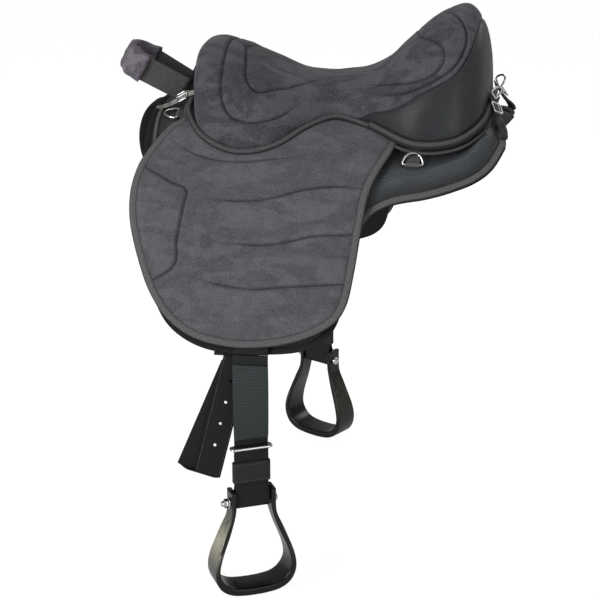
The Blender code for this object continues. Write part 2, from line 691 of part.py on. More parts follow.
def make_flap(side_name, collection):
    """A padded flap below the sewn line where it hinges, with the binding round it."""
    side = SIDES[side_name]
    edge = smooth_closed(FLAP_EDGE, 2)
    low = YOKE_LOW
    bm = prism([edge, inset(edge, FLAP_BINDING)], low, low + FLAP_EDGE_THICK)
    slice_off(bm, 1, HINGE_LINE, True)
    for vert in bm.verts:
        vert.co.y *= side
    lay_out(bm)
    binding = keep(side_name + "_flap_binding", bm, "webbing", collection)

    panel = [(x, level(x, s)) for x, s in inset(edge, FLAP_BINDING + GAP)]
    bm = prism([panel], low, low + FLAP_EDGE_THICK)
    slice_off(bm, 1, HINGE_LINE, True)
    top = low + FLAP_EDGE_THICK - 0.0001

    def upper(face):
        return face.calc_center_median().z > top

    rows = [HINGE_LINE + 0.012, HINGE_LINE + 0.026, HINGE_LINE + 0.040]
    for channel in CHANNELS:
        rows += [channel - CHANNEL_WIDTH * 1.3, channel, channel + CHANNEL_WIDTH * 1.3]
    for channel in CHANNELS:
        rows += [channel + 0.019, channel + 0.034] + ([channel + 0.045] if channel < 0.3 else [channel + 0.05])
    columns = [-0.103, -0.110, -0.117, -0.130, -0.144, -0.160] + [-0.090 + 0.0155 * k for k in range(16)]
    cut_across(bm, 1, rows, upper)
    cut_across(bm, 0, columns, upper)
    outline = inset(edge, FLAP_BINDING)
    for vert in bm.verts:
        raised = vert.co.z > top
        levelled = vert.co.y
        if levelled > HINGE_LINE + 1e-5:
            vert.co.y = levelled + wave(vert.co.x, levelled)
        if raised:
            shore = away_from(vert.co.xy, outline, closed=True)
            hinge = max(0.0, vert.co.y - HINGE_LINE)
            crown = FLAP_CROWN * (1 - math.exp(-shore / 0.010)) * (1 - math.exp(-hinge / 0.012))
            rows_away = min(abs(levelled - channel) for channel in CHANNELS)
            block_away = away_from(vert.co.xy, KNEE_BLOCK)
            ahead = 1 / (1 + math.exp((vert.co.x + 0.110) / 0.004))
            groove = math.exp(-(rows_away / CHANNEL_WIDTH) ** 2) * (1 - ahead)
            groove = max(groove, math.exp(-(block_away / CHANNEL_WIDTH) ** 2))
            vert.co.z += crown - CHANNEL_DEPTH * groove * min(1.0, shore / 0.008)
        vert.co.y *= side
    bmesh.ops.recalc_face_normals(bm, faces=bm.faces)
    lay_out(bm, faces=lambda face: face.calc_center_median().z < top)
    flap = keep(side_name + "_flap", bm, "suede", collection)
    carrier = pivot(side_name + "_flap_hinge", lay(0, side * HINGE_LINE, YOKE_TOP), collection)
    hang(carrier, flap, binding)


def rounded_frame(half_a, half_b, corner, steps=3):
    """A rounded rectangle as a closed loop."""
    points = []
    for k, (i, j) in enumerate(((1, 1), (-1, 1), (-1, -1), (1, -1))):
        for step in range(steps + 1):
            turn = math.pi / 2 * (k + step / steps)
            points.append((i * (half_a - corner) + corner * math.cos(turn),
                           j * (half_b - corner) + corner * math.sin(turn)))
    return points


def across_and_out(side, turn):
    """Directions across the stirrup strap and away from the horse, after the strap's twist."""
    return Vector((math.cos(turn), -side * math.sin(turn), 0)), Vector((math.sin(turn), side * math.cos(turn), 0))


def make_stirrup(side_name, collection):
    """Ring, strap in three lengths, slide buckle, keeper, bolt and stirrup of one side."""
    side = SIDES[side_name]
    twist = TWIST

    ring_middle = RING_UPPER + RING_BAR + RING_OPENING / 2
    ring_low = ARCH_LOW + WEBBING + GAP
    frame = [(STRAP_X + a, side * (ring_middle + b))
             for a, b in rounded_frame(RING_OUTER_HALF, RING_OPENING / 2 + RING_BAR, 0.004)]
    opening = [(STRAP_X + a, side * (ring_middle + b))
               for a, b in rounded_frame(RING_INNER_HALF, RING_OPENING / 2, 0.0008, 1)]
    laid_layer(side_name + "_stirrup_ring", [frame, opening], ring_low, ring_low + RING_THICK, "steel",
               collection)

    bar = RING_UPPER + RING_BAR * 1.5 + RING_OPENING
    loop_high = ARCH_LOW + 2 * WEBBING + RING_THICK + 2 * GAP
    slot_low = ARCH_LOW + WEBBING
    slot_high = slot_low + RING_THICK + 2 * GAP
    start = bar - STRAP_SLOT_HALF - LOOP_WALL
    joined = bar + STRAP_SLOT_HALF
    end = FALL_START - STRAP / 2 - GAP
    outline = [(start, ARCH_LOW + GAP), (joined + 0.008, ARCH_LOW + GAP), (joined + 0.020, STRAP_LAYER),
               (end, STRAP_LAYER), (end, STRAP_LAYER + STRAP), (joined + 0.010, STRAP_LAYER + STRAP),
               (joined, loop_high), (start, loop_high)]
    slot = [(bar - STRAP_SLOT_HALF, slot_low), (joined, slot_low), (joined, slot_high),
            (bar - STRAP_SLOT_HALF, slot_high)]
    flat = [[(side * a, b) for a, b in loop] for loop in (outline, slot)]
    bm = prism(flat, STRAP_X - STRAP_WIDTH / 2, STRAP_X + STRAP_WIDTH / 2)
    lay_out(bm, (2, 0, 1))
    strap = keep(side_name + "_stirrup_strap", bm, "black_webbing", collection)
    swing = pivot(side_name + "_strap_swing", lay(STRAP_X, side * bar, ring_low + RING_THICK / 2), collection)

    turn_top = lay(STRAP_X, side * FALL_START, STRAP_LAYER + STRAP / 2)
    fall_y = turn_top.y
    levels = [(turn_top.z + STRAP / 2 * math.sin(a), STRAP / 2 * math.cos(a), STRAP / 2 * math.cos(a))
              for a in (math.radians(65), math.radians(35), 0)]
    levels += [(TAIL_TOP, STRAP / 2, STRAP / 2), (TAIL_TOP - 0.001, STRAP / 2, STRAP * 1.45)]
    levels += [(TAIL_TOP + (TAIL_HEM - TAIL_TOP) * k / 6, STRAP / 2, STRAP * 1.45) for k in range(1, 6)]
    levels += [(TAIL_HEM + 0.001, STRAP / 2, STRAP * 1.45), (TAIL_HEM, STRAP / 2, STRAP / 2),
               (FALL_END, STRAP / 2, STRAP / 2)]
    bm = bmesh.new()
    rings = []
    for z, inward, outward in levels:
        share = max(0.0, min(1.0, (TAIL_TOP - z) / (TAIL_TOP - TAIL_HEM)))
        across, out = across_and_out(side, twist * share)
        centre = Vector((STRAP_X, fall_y, z))
        rings.append([bm.verts.new(centre + across * (i * STRAP_WIDTH / 2) + out * j)
                      for i, j in ((-1, -inward), (1, -inward), (1, outward), (-1, outward))])
    loft(bm, rings)
    fall = keep(side_name + "_strap_fall", bm, "tail_webbing", collection)
    out_pivot = pivot(side_name + "_strap_out", turn_top, collection)

    across, out = across_and_out(side, twist)
    base = Vector((STRAP_X, fall_y, BOLT_Z))
    local = Matrix((out, (0, 0, 1), across)).transposed().to_4x4()
    place = Matrix.Translation(base) @ local
    top = FALL_END - GAP - BOLT_Z
    right = [(LOOP_HALF, top), (LOOP_HALF, 0.029), (0.0050, 0.018), (0.0085, 0.0075)]
    around = [(LOOP_ROUND * math.cos(math.radians(a)), LOOP_ROUND * math.sin(math.radians(a)))
              for a in range(20, -201, -20)]
    outline = right + around + [(-a, b) for a, b in reversed(right)]
    hole = [((BOLT_RADIUS + GAP) * math.cos(2 * math.pi * k / 16),
             (BOLT_RADIUS + GAP) * math.sin(2 * math.pi * k / 16)) for k in range(16)]
    bm = prism([outline, hole], -STRAP_WIDTH / 2, STRAP_WIDTH / 2)
    bmesh.ops.transform(bm, verts=bm.verts, matrix=place)
    loop = keep(side_name + "_strap_loop", bm, "black_webbing", collection)
    turning = pivot(side_name + "_strap_turn", (STRAP_X, fall_y, FALL_END), collection)

    wire_clear = SLIDE_BUCKLE_WIRE + 0.0006
    frame = rounded_frame(STRAP_WIDTH / 2 + wire_clear + 0.0012, LOOP_HALF + wire_clear, 0.0028, 2)
    points = [Vector((STRAP_X, fall_y, SLIDE_BUCKLE_Z)) + across * a + out * b for a, b in frame]
    buckle = wire(side_name + "_slide_buckle", points, SLIDE_BUCKLE_WIRE, "steel", collection)

    inner = rounded_frame(STRAP_WIDTH / 2 + GAP, LOOP_HALF + GAP, 0.0006, 1)
    outer = rounded_frame(STRAP_WIDTH / 2 + GAP + KEEPER_WALL, LOOP_HALF + GAP + KEEPER_WALL, 0.0024, 2)
    bm = prism([outer, inner], KEEPER_LOW, KEEPER_HIGH)
    upright = Matrix((across, out, (0, 0, 1))).transposed().to_4x4()
    bmesh.ops.transform(bm, verts=bm.verts, matrix=Matrix.Translation((STRAP_X, fall_y, 0)) @ upright)
    keeper = keep(side_name + "_keeper", bm, "black_webbing", collection)
    slide = pivot(side_name + "_keeper_slide", (STRAP_X, fall_y, KEEPER_LOW), collection)

    spread = STRAP_WIDTH / 2 + STIRRUP_EYE_CLEARANCE - STIRRUP_EYE_HALF
    right = smooth_open(STIRRUP_OUTER, 2) + smooth_open(STIRRUP_INNER, 2)
    right = [(a + spread * min(1.0, a / STIRRUP_EYE_HALF), b) for a, b in right]
    outer_count = (len(STIRRUP_OUTER) - 1) * 2 + 1
    outer_half, inner_half = right[:outer_count], right[outer_count:]
    contour = outer_half + [(-a, b) for a, b in reversed(outer_half[:-1])]
    contour += [(-a, b) for a, b in reversed(inner_half)] + inner_half[1:]
    bm = prism([contour], -STIRRUP_DEPTH[1] / 2, STIRRUP_DEPTH[1] / 2)
    for vert in bm.verts:
        share = max(0.0, min(1.0, (STIRRUP_FLARE[0] - vert.co.y) / (STIRRUP_FLARE[0] - STIRRUP_FLARE[1])))
        share = share * share * (3 - 2 * share)
        depth = STIRRUP_DEPTH[0] + (STIRRUP_DEPTH[1] - STIRRUP_DEPTH[0]) * share
        vert.co.z *= depth / STIRRUP_DEPTH[1]
    facing = Matrix((across, (0, 0, 1), out)).transposed().to_4x4()
    bmesh.ops.transform(bm, verts=bm.verts, matrix=Matrix.Translation(base) @ facing)
    stirrup = keep(side_name + "_stirrup", bm, "plastic", collection)
    drill = round_bar(base - across * 0.05, base + across * 0.05, BOLT_RADIUS + GAP)
    boolean(stirrup, keep("drill", drill, "plastic", collection), "DIFFERENCE")

    seat_face = STIRRUP_OUTER[0][0] + spread + GAP
    profile = [(-seat_face - 0.0120, BOLT_RADIUS, False), (-seat_face - 0.0078, BOLT_RADIUS, False),
               (-seat_face - 0.0078, 0.0068, True), (-seat_face - 0.0015, 0.0068, True),
               (-seat_face - 0.0015, 0.0080, False), (-seat_face, 0.0080, False),
               (-seat_face, BOLT_RADIUS, False), (seat_face, BOLT_RADIUS, False),
               (seat_face, 0.0068, False), (seat_face + 0.0020, 0.0066, False),
               (seat_face + 0.0040, 0.0048, False), (seat_face + 0.0050, 0.0020, False)]
    bolt = turned(side_name + "_stirrup_bolt", base, across, profile, "steel", collection)
    tilt = pivot(side_name + "_stirrup_tilt", base, collection)

    hang(tilt, stirrup)
    hang(slide, keeper)
    hang(turning, loop, buckle, bolt, tilt, slide)
    hang(out_pivot, fall, turning)
    hang(swing, strap, out_pivot)


def make_billet(side_name, collection):
    """A girth billet: its sewn root, and the folded strap that hangs from it."""
    side = SIDES[side_name]
    first, last, upper, lower = BILLET_ROOT
    low = LINING - BILLET_THICK - GAP
    loop = [(first, side * upper), (last, side * upper), (last, side * lower), (first, side * lower)]
    laid_layer(side_name + "_billet_root", [loop], low, low + BILLET_THICK, "black_webbing", collection)

    slope, _ = frame_at(side * lower)
    half = BILLET_THICK / 2
    top = lay(BILLET_TOP_X, side * lower, low + half) + slope * (half + GAP)
    down = Vector((-math.sin(BILLET_TILT), 0, -math.cos(BILLET_TILT)))
    across = Vector((math.cos(BILLET_TILT), 0, -math.sin(BILLET_TILT)))
    inwards = Vector((0, -side, 0))
    bend = BILLET_BEND
    level_across = Vector((1 / math.cos(BILLET_TILT), 0, 0))
    stations = []
    for turn in (70, 40):
        rise = Vector((0, 0, half * math.sin(math.radians(turn))))
        stations.append((top + rise, level_across, -inwards * math.cos(math.radians(turn))))
    stations.append((top, level_across, -inwards))
    for distance in (0.020, BILLET_LENGTH * 0.5, BILLET_LENGTH):
        stations.append((top + down * distance, across, -inwards))
    foot = top + down * BILLET_LENGTH
    for k in range(1, 8):
        turn = math.pi * k / 8
        centre = foot + inwards * (bend - bend * math.cos(turn)) + down * (bend * math.sin(turn))
        centre = centre - across * (BILLET_SHIFT * k / 8)
        face = -inwards * math.cos(turn) + down * math.sin(turn)
        stations.append((centre, across, face))
    for share in (1.0, 0.5, 0.07):
        place = top + down * (BILLET_LENGTH * share) + inwards * 2 * bend
        stations.append((place - across * (BILLET_SHIFT * share), across, inwards))
    billet = ribbon(side_name + "_billet", stations, BILLET_WIDTH, BILLET_THICK, "black_webbing", collection)
    for k in range(BILLET_HOLES):
        spot = top + down * (FIRST_HOLE + HOLE_PITCH * k)
        punch = round_bar(spot - inwards * 0.0018, spot + inwards * 0.0018, BILLET_HOLE, 10)
        boolean(billet, keep("punch", punch, "black_webbing", collection), "DIFFERENCE")
    hang(pivot(side_name + "_billet_hinge", top, collection), billet)


def dee_points(centre, along, reach_way, width, reach):
    """A closed line for a dee ring: a straight bar and an arc that reaches away from it."""
    points = [centre - along * (width / 4), centre + along * (width / 4)]
    for k in range(11):
        turn = math.pi * k / 10
        points.append(centre + along * (width / 2 * math.cos(turn)) + reach_way * (reach * math.sin(turn)))
    return points


def tab_profile(bar, tail_end, way):
    """A webbing tab seen from its edge: a flat tail and a loop round the dee's bar."""
    outer = DEE_WIRE + GAP + TAB_PLY
    height = ARCH_LOW + outer
    loop = [(bar - way * outer * math.sin(math.radians(a)), height - outer * math.cos(math.radians(a)))
            for a in range(0, 181, 30)]
    outline = [(tail_end, ARCH_LOW)] + loop + [(bar + way * 0.004, ARCH_LOW + 2 * outer),
                                               (bar + way * 0.009, ARCH_LOW + 2 * TAB_PLY),
                                               (tail_end, ARCH_LOW + 2 * TAB_PLY)]
    radius = DEE_WIRE + GAP
    hole = [(bar + radius * math.cos(2 * math.pi * k / 12), height + radius * math.sin(2 * math.pi * k / 12))
            for k in range(12)]
    return outline, hole, height


def make_dees(side_name, collection):
    """Front and side dee rings with their tabs."""
    side = SIDES[side_name]
    x, s = FRONT_DEE["x"], FRONT_DEE["s"]
    outline, hole, height = tab_profile(x, x + 0.043, 1)
    bm = prism([outline, hole], side * s - 0.010, side * s + 0.010)
    lay_out(bm, (0, 2, 1))
    keep(side_name + "_front_tab", bm, "webbing", collection)
    down, _ = frame_at(side * s)
    centre = lay(x, side * s, height)
    points = dee_points(centre, down, Vector((-1, 0, 0)), FRONT_DEE["width"], FRONT_DEE["reach"])
    dee = wire(side_name + "_front_dee", points, DEE_WIRE, "steel", collection)
    hang(pivot(side_name + "_front_dee_hinge", centre, collection), dee)

    x, s = SIDE_DEE["x"], SIDE_DEE["s"]
    outline, hole, height = tab_profile(s, s - 0.042, -1)
    flat = [[(side * a, b) for a, b in loop] for loop in (outline, hole)]
    bm = prism(flat, x - 0.0105, x + 0.0105)
    lay_out(bm, (2, 0, 1))
    keep(side_name + "_side_tab", bm, "webbing", collection)
    down, away = frame_at(side * s)
    centre = lay(x, side * s, height)
    up_way = away * math.sin(SIDE_DEE["lift"]) - down * math.cos(SIDE_DEE["lift"])
    points = dee_points(centre, Vector((1, 0, 0)), up_way, SIDE_DEE["width"], SIDE_DEE["reach"])
    dee = wire(side_name + "_side_dee", points, DEE_WIRE, "steel", collection)
    hang(pivot(side_name + "_side_dee_hinge", centre, collection), dee)


def make_lace(side_name, kind, plan, finish, away_hint, collection):
    """A narrow buckled strap between the seat and the pad, with its buckle and tongue."""
    side = SIDES[side_name]
    steps = 3
    line = [lay(x, side * s, h) for x, s, h in smooth_open(plan["path"], steps)]
    stations = []
    for i, centre in enumerate(line):
        along = (line[min(len(line) - 1, i + 1)] - line[max(0, i - 1)]).normalized()
        hint = away_hint(side, i / (len(line) - 1))
        across = along.cross(hint).normalized()
        stations.append((centre, across, across.cross(along).normalized()))
    ribbon(side_name + "_" + kind + "_lace", stations, plan["width"], LACE_THICK, finish, collection)

    spot = plan["seat"] * steps
    centre, across, face = stations[spot]
    along = (line[spot + 1] - line[spot - 1]).normalized()
    middle = centre + face * (LACE_THICK / 2 + GAP + BUCKLE_WIRE + plan.get("clear", 0.0006))
    half_wide = plan["width"] / 2 + 0.0022
    frame = [middle + along * a + across * b
             for a, b in rounded_frame(BUCKLE_HALF, half_wide, 0.003, 2)]
    wire(side_name + "_" + kind + "_buckle", frame, BUCKLE_WIRE, "steel", collection, resolution=1)
    rise = BUCKLE_WIRE + GAP + TONGUE_RADIUS
    start = middle - along * BUCKLE_HALF + face * rise
    end = middle + along * (BUCKLE_HALF + 0.0012) + face * rise
    tongue = keep(side_name + "_" + kind + "_tongue", round_bar(start, end, TONGUE_RADIUS, 8), "steel", collection)
    hang(pivot(side_name + "_" + kind + "_tongue_hinge", middle - along * BUCKLE_HALF, collection), tongue)
    return stations


def make_rear_dee(side_name, stations, collection):
    """The dee at the top of the rear lace."""
    centre, across, face = stations[0]
    along = (stations[1][0] - stations[0][0]).normalized()
    bar = centre + face * (LACE_THICK / 2 + GAP + DEE_WIRE) + along * 0.002
    reach_way = (face * 0.85 - along * 0.52).normalized()
    points = dee_points(bar, across, reach_way, REAR_DEE["width"], REAR_DEE["reach"])
    dee = wire(side_name + "_rear_dee", points, DEE_WIRE * 0.85, "steel", collection)
    hang(pivot(side_name + "_rear_dee_hinge", bar, collection), dee)


def make_handle(collection):
    """The webbing grab handle that stands forwards of the pommel, and its suede wrap."""
    forward = Vector((-math.cos(HANDLE_RISE), 0, math.sin(HANDLE_RISE)))
    upward = Vector((math.sin(HANDLE_RISE), 0, math.cos(HANDLE_RISE)))
    across = HANDLE_ROOT_HALF / (BACK_RADIUS + PAD_TOP)
    pad_z = (BACK_RADIUS + PAD_TOP) * math.cos(math.asin(across)) - BACK_RADIUS
    root = Vector((HANDLE_X, 0, pad_z + GAP))
    middle = root + upward * (HANDLE_WIDTH / 2)

    def at(run, sideways, outward):
        return middle + forward * run + Vector((0, sideways, 0)), upward, outward

    bend = []
    for k in range(11):
        turn = math.pi * k / 10
        out = forward * math.sin(turn) + Vector((0, -math.cos(turn), 0))
        place = middle + forward * HANDLE_RUN + out * HANDLE_HALF
        bend.append((place, upward, out))
    near_root = at(0.0, -HANDLE_ROOT_HALF, Vector((0, -1, 0)))
    off_root = at(0.0, HANDLE_ROOT_HALF, Vector((0, 1, 0)))
    strap = ribbon("handle_strap", [near_root] + bend + [off_root], HANDLE_WIDTH, HANDLE_THICK,
                   "black_webbing", collection)

    clear_w, clear_t = HANDLE_WIDTH / 2 + GAP, HANDLE_THICK / 2 + GAP
    bm = bmesh.new()
    shells = []
    for grow in (0.0, WRAP_WALL):
        rings = []
        for place, up, out in bend:
            rings.append([bm.verts.new(place + up * (i * (clear_w + grow)) + out * (j * (clear_t + grow)))
                          for i, j in ((-1, -1), (1, -1), (1, 1), (-1, 1))])
        shells.append(rings)
    for rings in shells:
        for first, second in zip(rings, rings[1:]):
            for k in range(4):
                bm.faces.new((first[k], first[(k + 1) % 4], second[(k + 1) % 4], second[k]))
    for end in (0, -1):
        inner, outer = shells[0][end], shells[1][end]
        for k in range(4):
            bm.faces.new((inner[k], inner[(k + 1) % 4], outer[(k + 1) % 4], outer[k]))
    wrap = keep("handle_wrap", bm, "wrap_suede", collection)
    hang(pivot("handle_hinge", root, collection), strap, wrap)


def rear_hint(side, share):
    """The way the rear lace's face looks: rearwards at the seat, away from the pad at its end."""
    _, away = frame_at(side * 0.09)
    return (Vector((1, 0, 0)) * (1 - share) * 1.2 + away * (0.4 + share)).normalized()


def front_hint(side, share):
    """The front lace leaves the slope flat and turns its face outwards as it climbs."""
    _, upper = frame_at(side * 0.051)
    _, lower = frame_at(side * 0.145)
    return upper.lerp(lower, min(1.0, share * 2.2)).normalized()


def main():
    for old in list(bpy.data.objects):
        bpy.data.objects.remove(old)
    collection = bpy.data.collections.new("bareback_pad")
    bpy.context.scene.collection.children.link(collection)
    make_pad(collection)
    make_inside(collection)
    make_seat(collection)
    make_handle(collection)
    for side_name in SIDES:
        make_flap(side_name, collection)
        make_stirrup(side_name, collection)
        make_billet(side_name, collection)
        make_dees(side_name, collection)
        make_lace(side_name, "front", FRONT_LACE, "pale_leather", front_hint, collection)
        stations = make_lace(side_name, "rear", REAR_LACE, "leather", rear_hint, collection)
        make_rear_dee(side_name, stations, collection)
    bpy.context.view_layer.update()


main()
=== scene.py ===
"""Looks of a treeless padded saddle of the bareback pad kind: suede, mesh, webbing, plastic and steel."""
import math

import bmesh
import bpy
import numpy as np
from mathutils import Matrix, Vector
from mathutils.kdtree import KDTree


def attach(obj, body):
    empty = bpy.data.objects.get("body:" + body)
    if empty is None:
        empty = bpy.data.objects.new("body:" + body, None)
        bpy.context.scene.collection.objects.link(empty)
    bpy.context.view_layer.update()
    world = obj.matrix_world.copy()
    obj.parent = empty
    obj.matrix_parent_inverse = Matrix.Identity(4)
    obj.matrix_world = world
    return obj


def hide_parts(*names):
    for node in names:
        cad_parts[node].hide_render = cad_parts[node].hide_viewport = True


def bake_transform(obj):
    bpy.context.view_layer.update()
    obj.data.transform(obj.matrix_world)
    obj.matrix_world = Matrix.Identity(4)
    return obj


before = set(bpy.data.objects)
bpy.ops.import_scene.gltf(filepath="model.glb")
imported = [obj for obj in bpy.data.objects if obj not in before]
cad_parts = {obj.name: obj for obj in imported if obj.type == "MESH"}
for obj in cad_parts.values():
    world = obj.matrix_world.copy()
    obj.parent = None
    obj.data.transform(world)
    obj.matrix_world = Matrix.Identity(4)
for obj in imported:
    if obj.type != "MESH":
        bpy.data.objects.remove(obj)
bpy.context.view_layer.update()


def mm(*points):
    """Measured points, from millimetres."""
    return [tuple(value / 1000 for value in point) for point in points]


# ---------------------------------------------------------------- the back that every layer is laid over
BACK_RADIUS = 0.225
FLARE = math.radians(64)
BEND_END = BACK_RADIUS * FLARE
LINING_TOP, PAD_LOW, PAD_TOP = 0.0050, 0.0053, 0.0105
ARCH_LOW, YOKE_LOW, YOKE_TOP, SEAT_LOW = 0.0108, 0.0173, 0.0237, 0.0243
SIDES = {"near": -1, "off": 1}

# Flat patterns as (x, s), and lines sewn in them
PAD_HALF = mm((-190, 0), (-191, 40), (-190, 78), (-187, 121), (-183, 157), (-174, 205), (-166, 262),
              (-157, 320), (-140, 371), (-112, 407), (-64, 430), (0, 434), (70, 426), (110, 400), (127, 350),
              (132, 295), (148, 240), (181, 215), (228, 203), (262, 191), (295, 174), (317, 151), (330, 118),
              (332, 98), (320, 50), (306, 0))
FLAP_EDGE = mm((-116, 84), (-139, 98), (-151, 110), (-172, 151), (-184, 182), (-189, 220), (-184, 262),
               (-168, 312), (-148, 356), (-120, 392), (-80, 417), (-30, 427), (20, 425), (70, 413),
               (112, 390), (131, 362), (139, 315), (146, 243), (154, 195), (178, 137), (179, 112), (150, 84),
               (87, 74), (0, 76))
YOKE_HALF = mm((-119, 0), (-119, 50), (-114, 82), (0, 74.5), (87, 72.5), (150, 82.5), (180, 110.5),
               (200, 122), (240, 112), (275, 92), (292, 50), (293, 0))
WELT_LINE = mm((-177, 45), (-176.5, 80), (-172, 120), (-166, 155), (-158, 200))
FLAP_CHANNELS = [
    mm((-145, 137), (-112, 156), (-77, 167), (-36, 169), (6, 164), (34, 160), (89, 146), (128, 133)),
    mm((-86, 223), (-22, 224), (20, 217), (61, 205), (103, 199), (141, 200)),
    mm((-67, 280), (-2, 283), (40, 277), (81, 266), (134, 262)),
    mm((-98, 330), (-54, 340), (-4, 345), (52, 339), (128, 331))]
CHANNEL_STARTS = (-0.150, -0.085, -0.066, -0.097)
KNEE_LINE = mm((-183, 178), (-172, 183), (-148, 195), (-125, 205), (-110, 210), (-106, 219), (-109, 237),
               (-114, 281), (-112, 302), (-115, 317), (-127, 329), (-145, 340), (-157, 343))
FLAP_PUCKERS = [
    mm((-104, 262), (-86, 268), (-67, 277)), mm((-106, 275), (-90, 285), (-70, 290)),
    mm((-70, 262), (-62, 285), (-55, 318)), mm((-108, 316), (-90, 326), (-70, 333)),
    mm((-100, 214), (-80, 203), (-40, 200)), mm((-60, 292), (-40, 310), (-30, 330))]
# Seat stations: x and z of the centre line, then x and s of the lower edge
STATIONS = mm(
    (-114, 32, -118, 10), (-116.5, 54, -118, 40), (-123.5, 81, -116.5, 78), (-115, 99, -108.5, 112),
    (-84, 98, -86, 135), (-52, 85.5, -52, 150), (-18, 71, -18, 149), (16, 57.5, 16, 134), (48, 54.5, 48, 104),
    (85, 56.5, 87, 81), (120, 63, 128, 93), (150, 77, 162, 111), (178, 104, 198, 129), (210, 134, 230, 132),
    (245, 156, 262, 124), (268, 158.5, 282, 108), (288, 135, 295, 86), (298, 95, 299.5, 56),
    (300.5, 55, 301.2, 28), (301.5, 32, 301.6, 10))
SEAT_FULLNESS = 0.90
LENGTHWISE, UP = np.array((1.0, 0, 0)), np.array((0, 0, 1.0))
GAP, STITCH_LIFT = 0.0003, 0.0001
FLAP_SEED, PAD_SEED, SEAT_SEED, SLEEVE_SEED = 3, 8, 11, 4
# Lines on the seat as (station, share of the way from the centre line to the edge)
SEAM = [(9.75, 1), (10.1, 0.93), (10.58, 0.84), (11.36, 0.78), (11.92, 0.74), (12.5, 0.71), (13.16, 0.70),
        (13.76, 0.69), (14.42, 0.66), (14.96, 0.595), (15.38, 0.48), (15.70, 0.29), (15.86, 0)]
POMMEL_OUTER = [(3.96, 0), (4.14, 0.25), (4.24, 0.42), (4.32, 0.565), (4.42, 0.66), (4.58, 0.725),
                (4.92, 0.78), (5.34, 0.795), (5.84, 0.795), (6.38, 0.775), (6.88, 0.745), (7.38, 0.695),
                (7.88, 0.615)]
POMMEL_INNER = [(4.72, 0), (5.04, 0.2), (5.2, 0.335), (5.32, 0.405), (5.52, 0.46), (5.76, 0.5), (6.08, 0.49),
                (6.44, 0.435), (6.9, 0.38), (7.48, 0.31), (8.08, 0.27), (8.64, 0.28)]
CANTLE_INNER = [(9.7, 0.41), (10.38, 0.435), (11.1, 0.495), (11.8, 0.55), (12.46, 0.595), (13.06, 0.615),
                (13.46, 0.60), (13.72, 0.55), (13.72, 0.48), (13.50, 0.40), (13.1, 0.30), (12.7, 0.18),
                (12.5, 0)]
CANTLE_OUTER = [(10.5, 0.60), (11.12, 0.62), (11.76, 0.64), (12.44, 0.655), (13.16, 0.66), (13.74, 0.645),
                (14.3, 0.615), (14.72, 0.565), (14.98, 0.48), (14.95, 0.38), (14.6, 0.27), (14.1, 0.16),
                (13.6, 0)]
WAIST_FOLDS = [
    [(8.46, 0.01), (9.34, 0.11), (10.52, 0.18), (11.58, 0.31)],
    [(9.3, 0.49), (10.18, 0.56), (11.14, 0.62), (12.1, 0.65)],
    [(8.42, 0.235), (9.2, 0.23), (10.06, 0.24), (11.1, 0.335)], [(10.2, 0.665), (11.14, 0.715), (11.7, 0.69)],
    [(8.1, 0.40), (9.0, 0.42), (10.0, 0.47), (10.9, 0.52)], [(8.9, 0.35), (9.8, 0.36), (10.8, 0.42)]]


def lay(x, s, h):
    """Places on the saddle from x along the back, s around it and h above its underside."""
    x, s, h = np.broadcast_arrays(*(np.asarray(v, float) for v in (x, s, h)))
    turn = np.minimum(np.abs(s) / BACK_RADIUS, FLARE)
    beyond = np.maximum(0.0, np.abs(s) - BEND_END)
    y = np.where(s < 0, -1.0, 1.0) * ((BACK_RADIUS + h) * np.sin(turn) + beyond * math.cos(FLARE))
    z = (BACK_RADIUS + h) * np.cos(turn) - BACK_RADIUS - beyond * math.sin(FLARE)
    return np.stack([x, y, z], -1)


def slope_at(s):
    """Directions down the slope and away from the surface at s."""
    side = 1 if s >= 0 else -1
    turn = min(abs(s) / BACK_RADIUS, FLARE)
    down = np.array((0, side * math.cos(turn), -math.sin(turn)))
    return down, np.array((0, side * math.sin(turn), math.cos(turn)))


def unit(v):
    """Directions of length one."""
    return v / np.linalg.norm(v, axis=-1, keepdims=True)


def heading(path, closed=False):
    """The direction of a line at each of its points."""
    return unit(np.roll(path, -1, 0) - np.roll(path, 1, 0) if closed else np.gradient(path, axis=0))


def lengths(line, closed=False):
    """How far along a line each of its points is, and its start again where it's closed."""
    line = np.concatenate([line, line[:1]]) if closed else line
    return np.concatenate([[0], np.cumsum(np.linalg.norm(np.diff(line, axis=0), axis=1))])


def read_at(steps, along, line):
    """A line's points at other distances along it."""
    return np.stack([np.interp(steps, along, column) for column in np.asarray(line).T], -1)


def spline(points, places, closed=False):
    """A smooth curve through points, read at real-numbered places along them."""
    points, places = np.asarray(points, float), np.asarray(places, float)
    count = len(points)
    start = np.floor(places).astype(int)
    if not closed:
        start = np.clip(start, 0, count - 2)
    t = (places - start)[..., None]
    a, b, c, d = (points[(start + k) % count if closed else np.clip(start + k, 0, count - 1)]
                  for k in (-1, 0, 1, 2))
    return 0.5 * (2 * b + (c - a) * t + (2 * a - 5 * b + 4 * c - d) * t * t
                  + (3 * b - a - 3 * c + d) * t ** 3)


def drawn(points, pitch, closed=False):
    """The smooth line through points, with its own points a given distance apart."""
    spans = len(points) if closed else len(points) - 1
    fine = spline(points, np.linspace(0, spans, spans * 24 + 1), closed)
    along = lengths(fine)
    line = read_at(np.linspace(0, along[-1], max(2, int(round(along[-1] / pitch)) + 1)), along, fine)
    return line[:-1] if closed else line


def mirrored(half):
    return half + [(x, -s) for x, s in reversed(half) if s > 1e-6]


def left_of(along):
    return np.stack([-along[:, 1], along[:, 0]], -1)


def inset(line, distance):
    """A closed flat outline drawn in by a distance."""
    ahead = np.roll(line, -1, 0)
    turn = 1 if np.sum(line[:, 0] * ahead[:, 1] - ahead[:, 0] * line[:, 1]) > 0 else -1
    return line + turn * distance * left_of(heading(line, True))


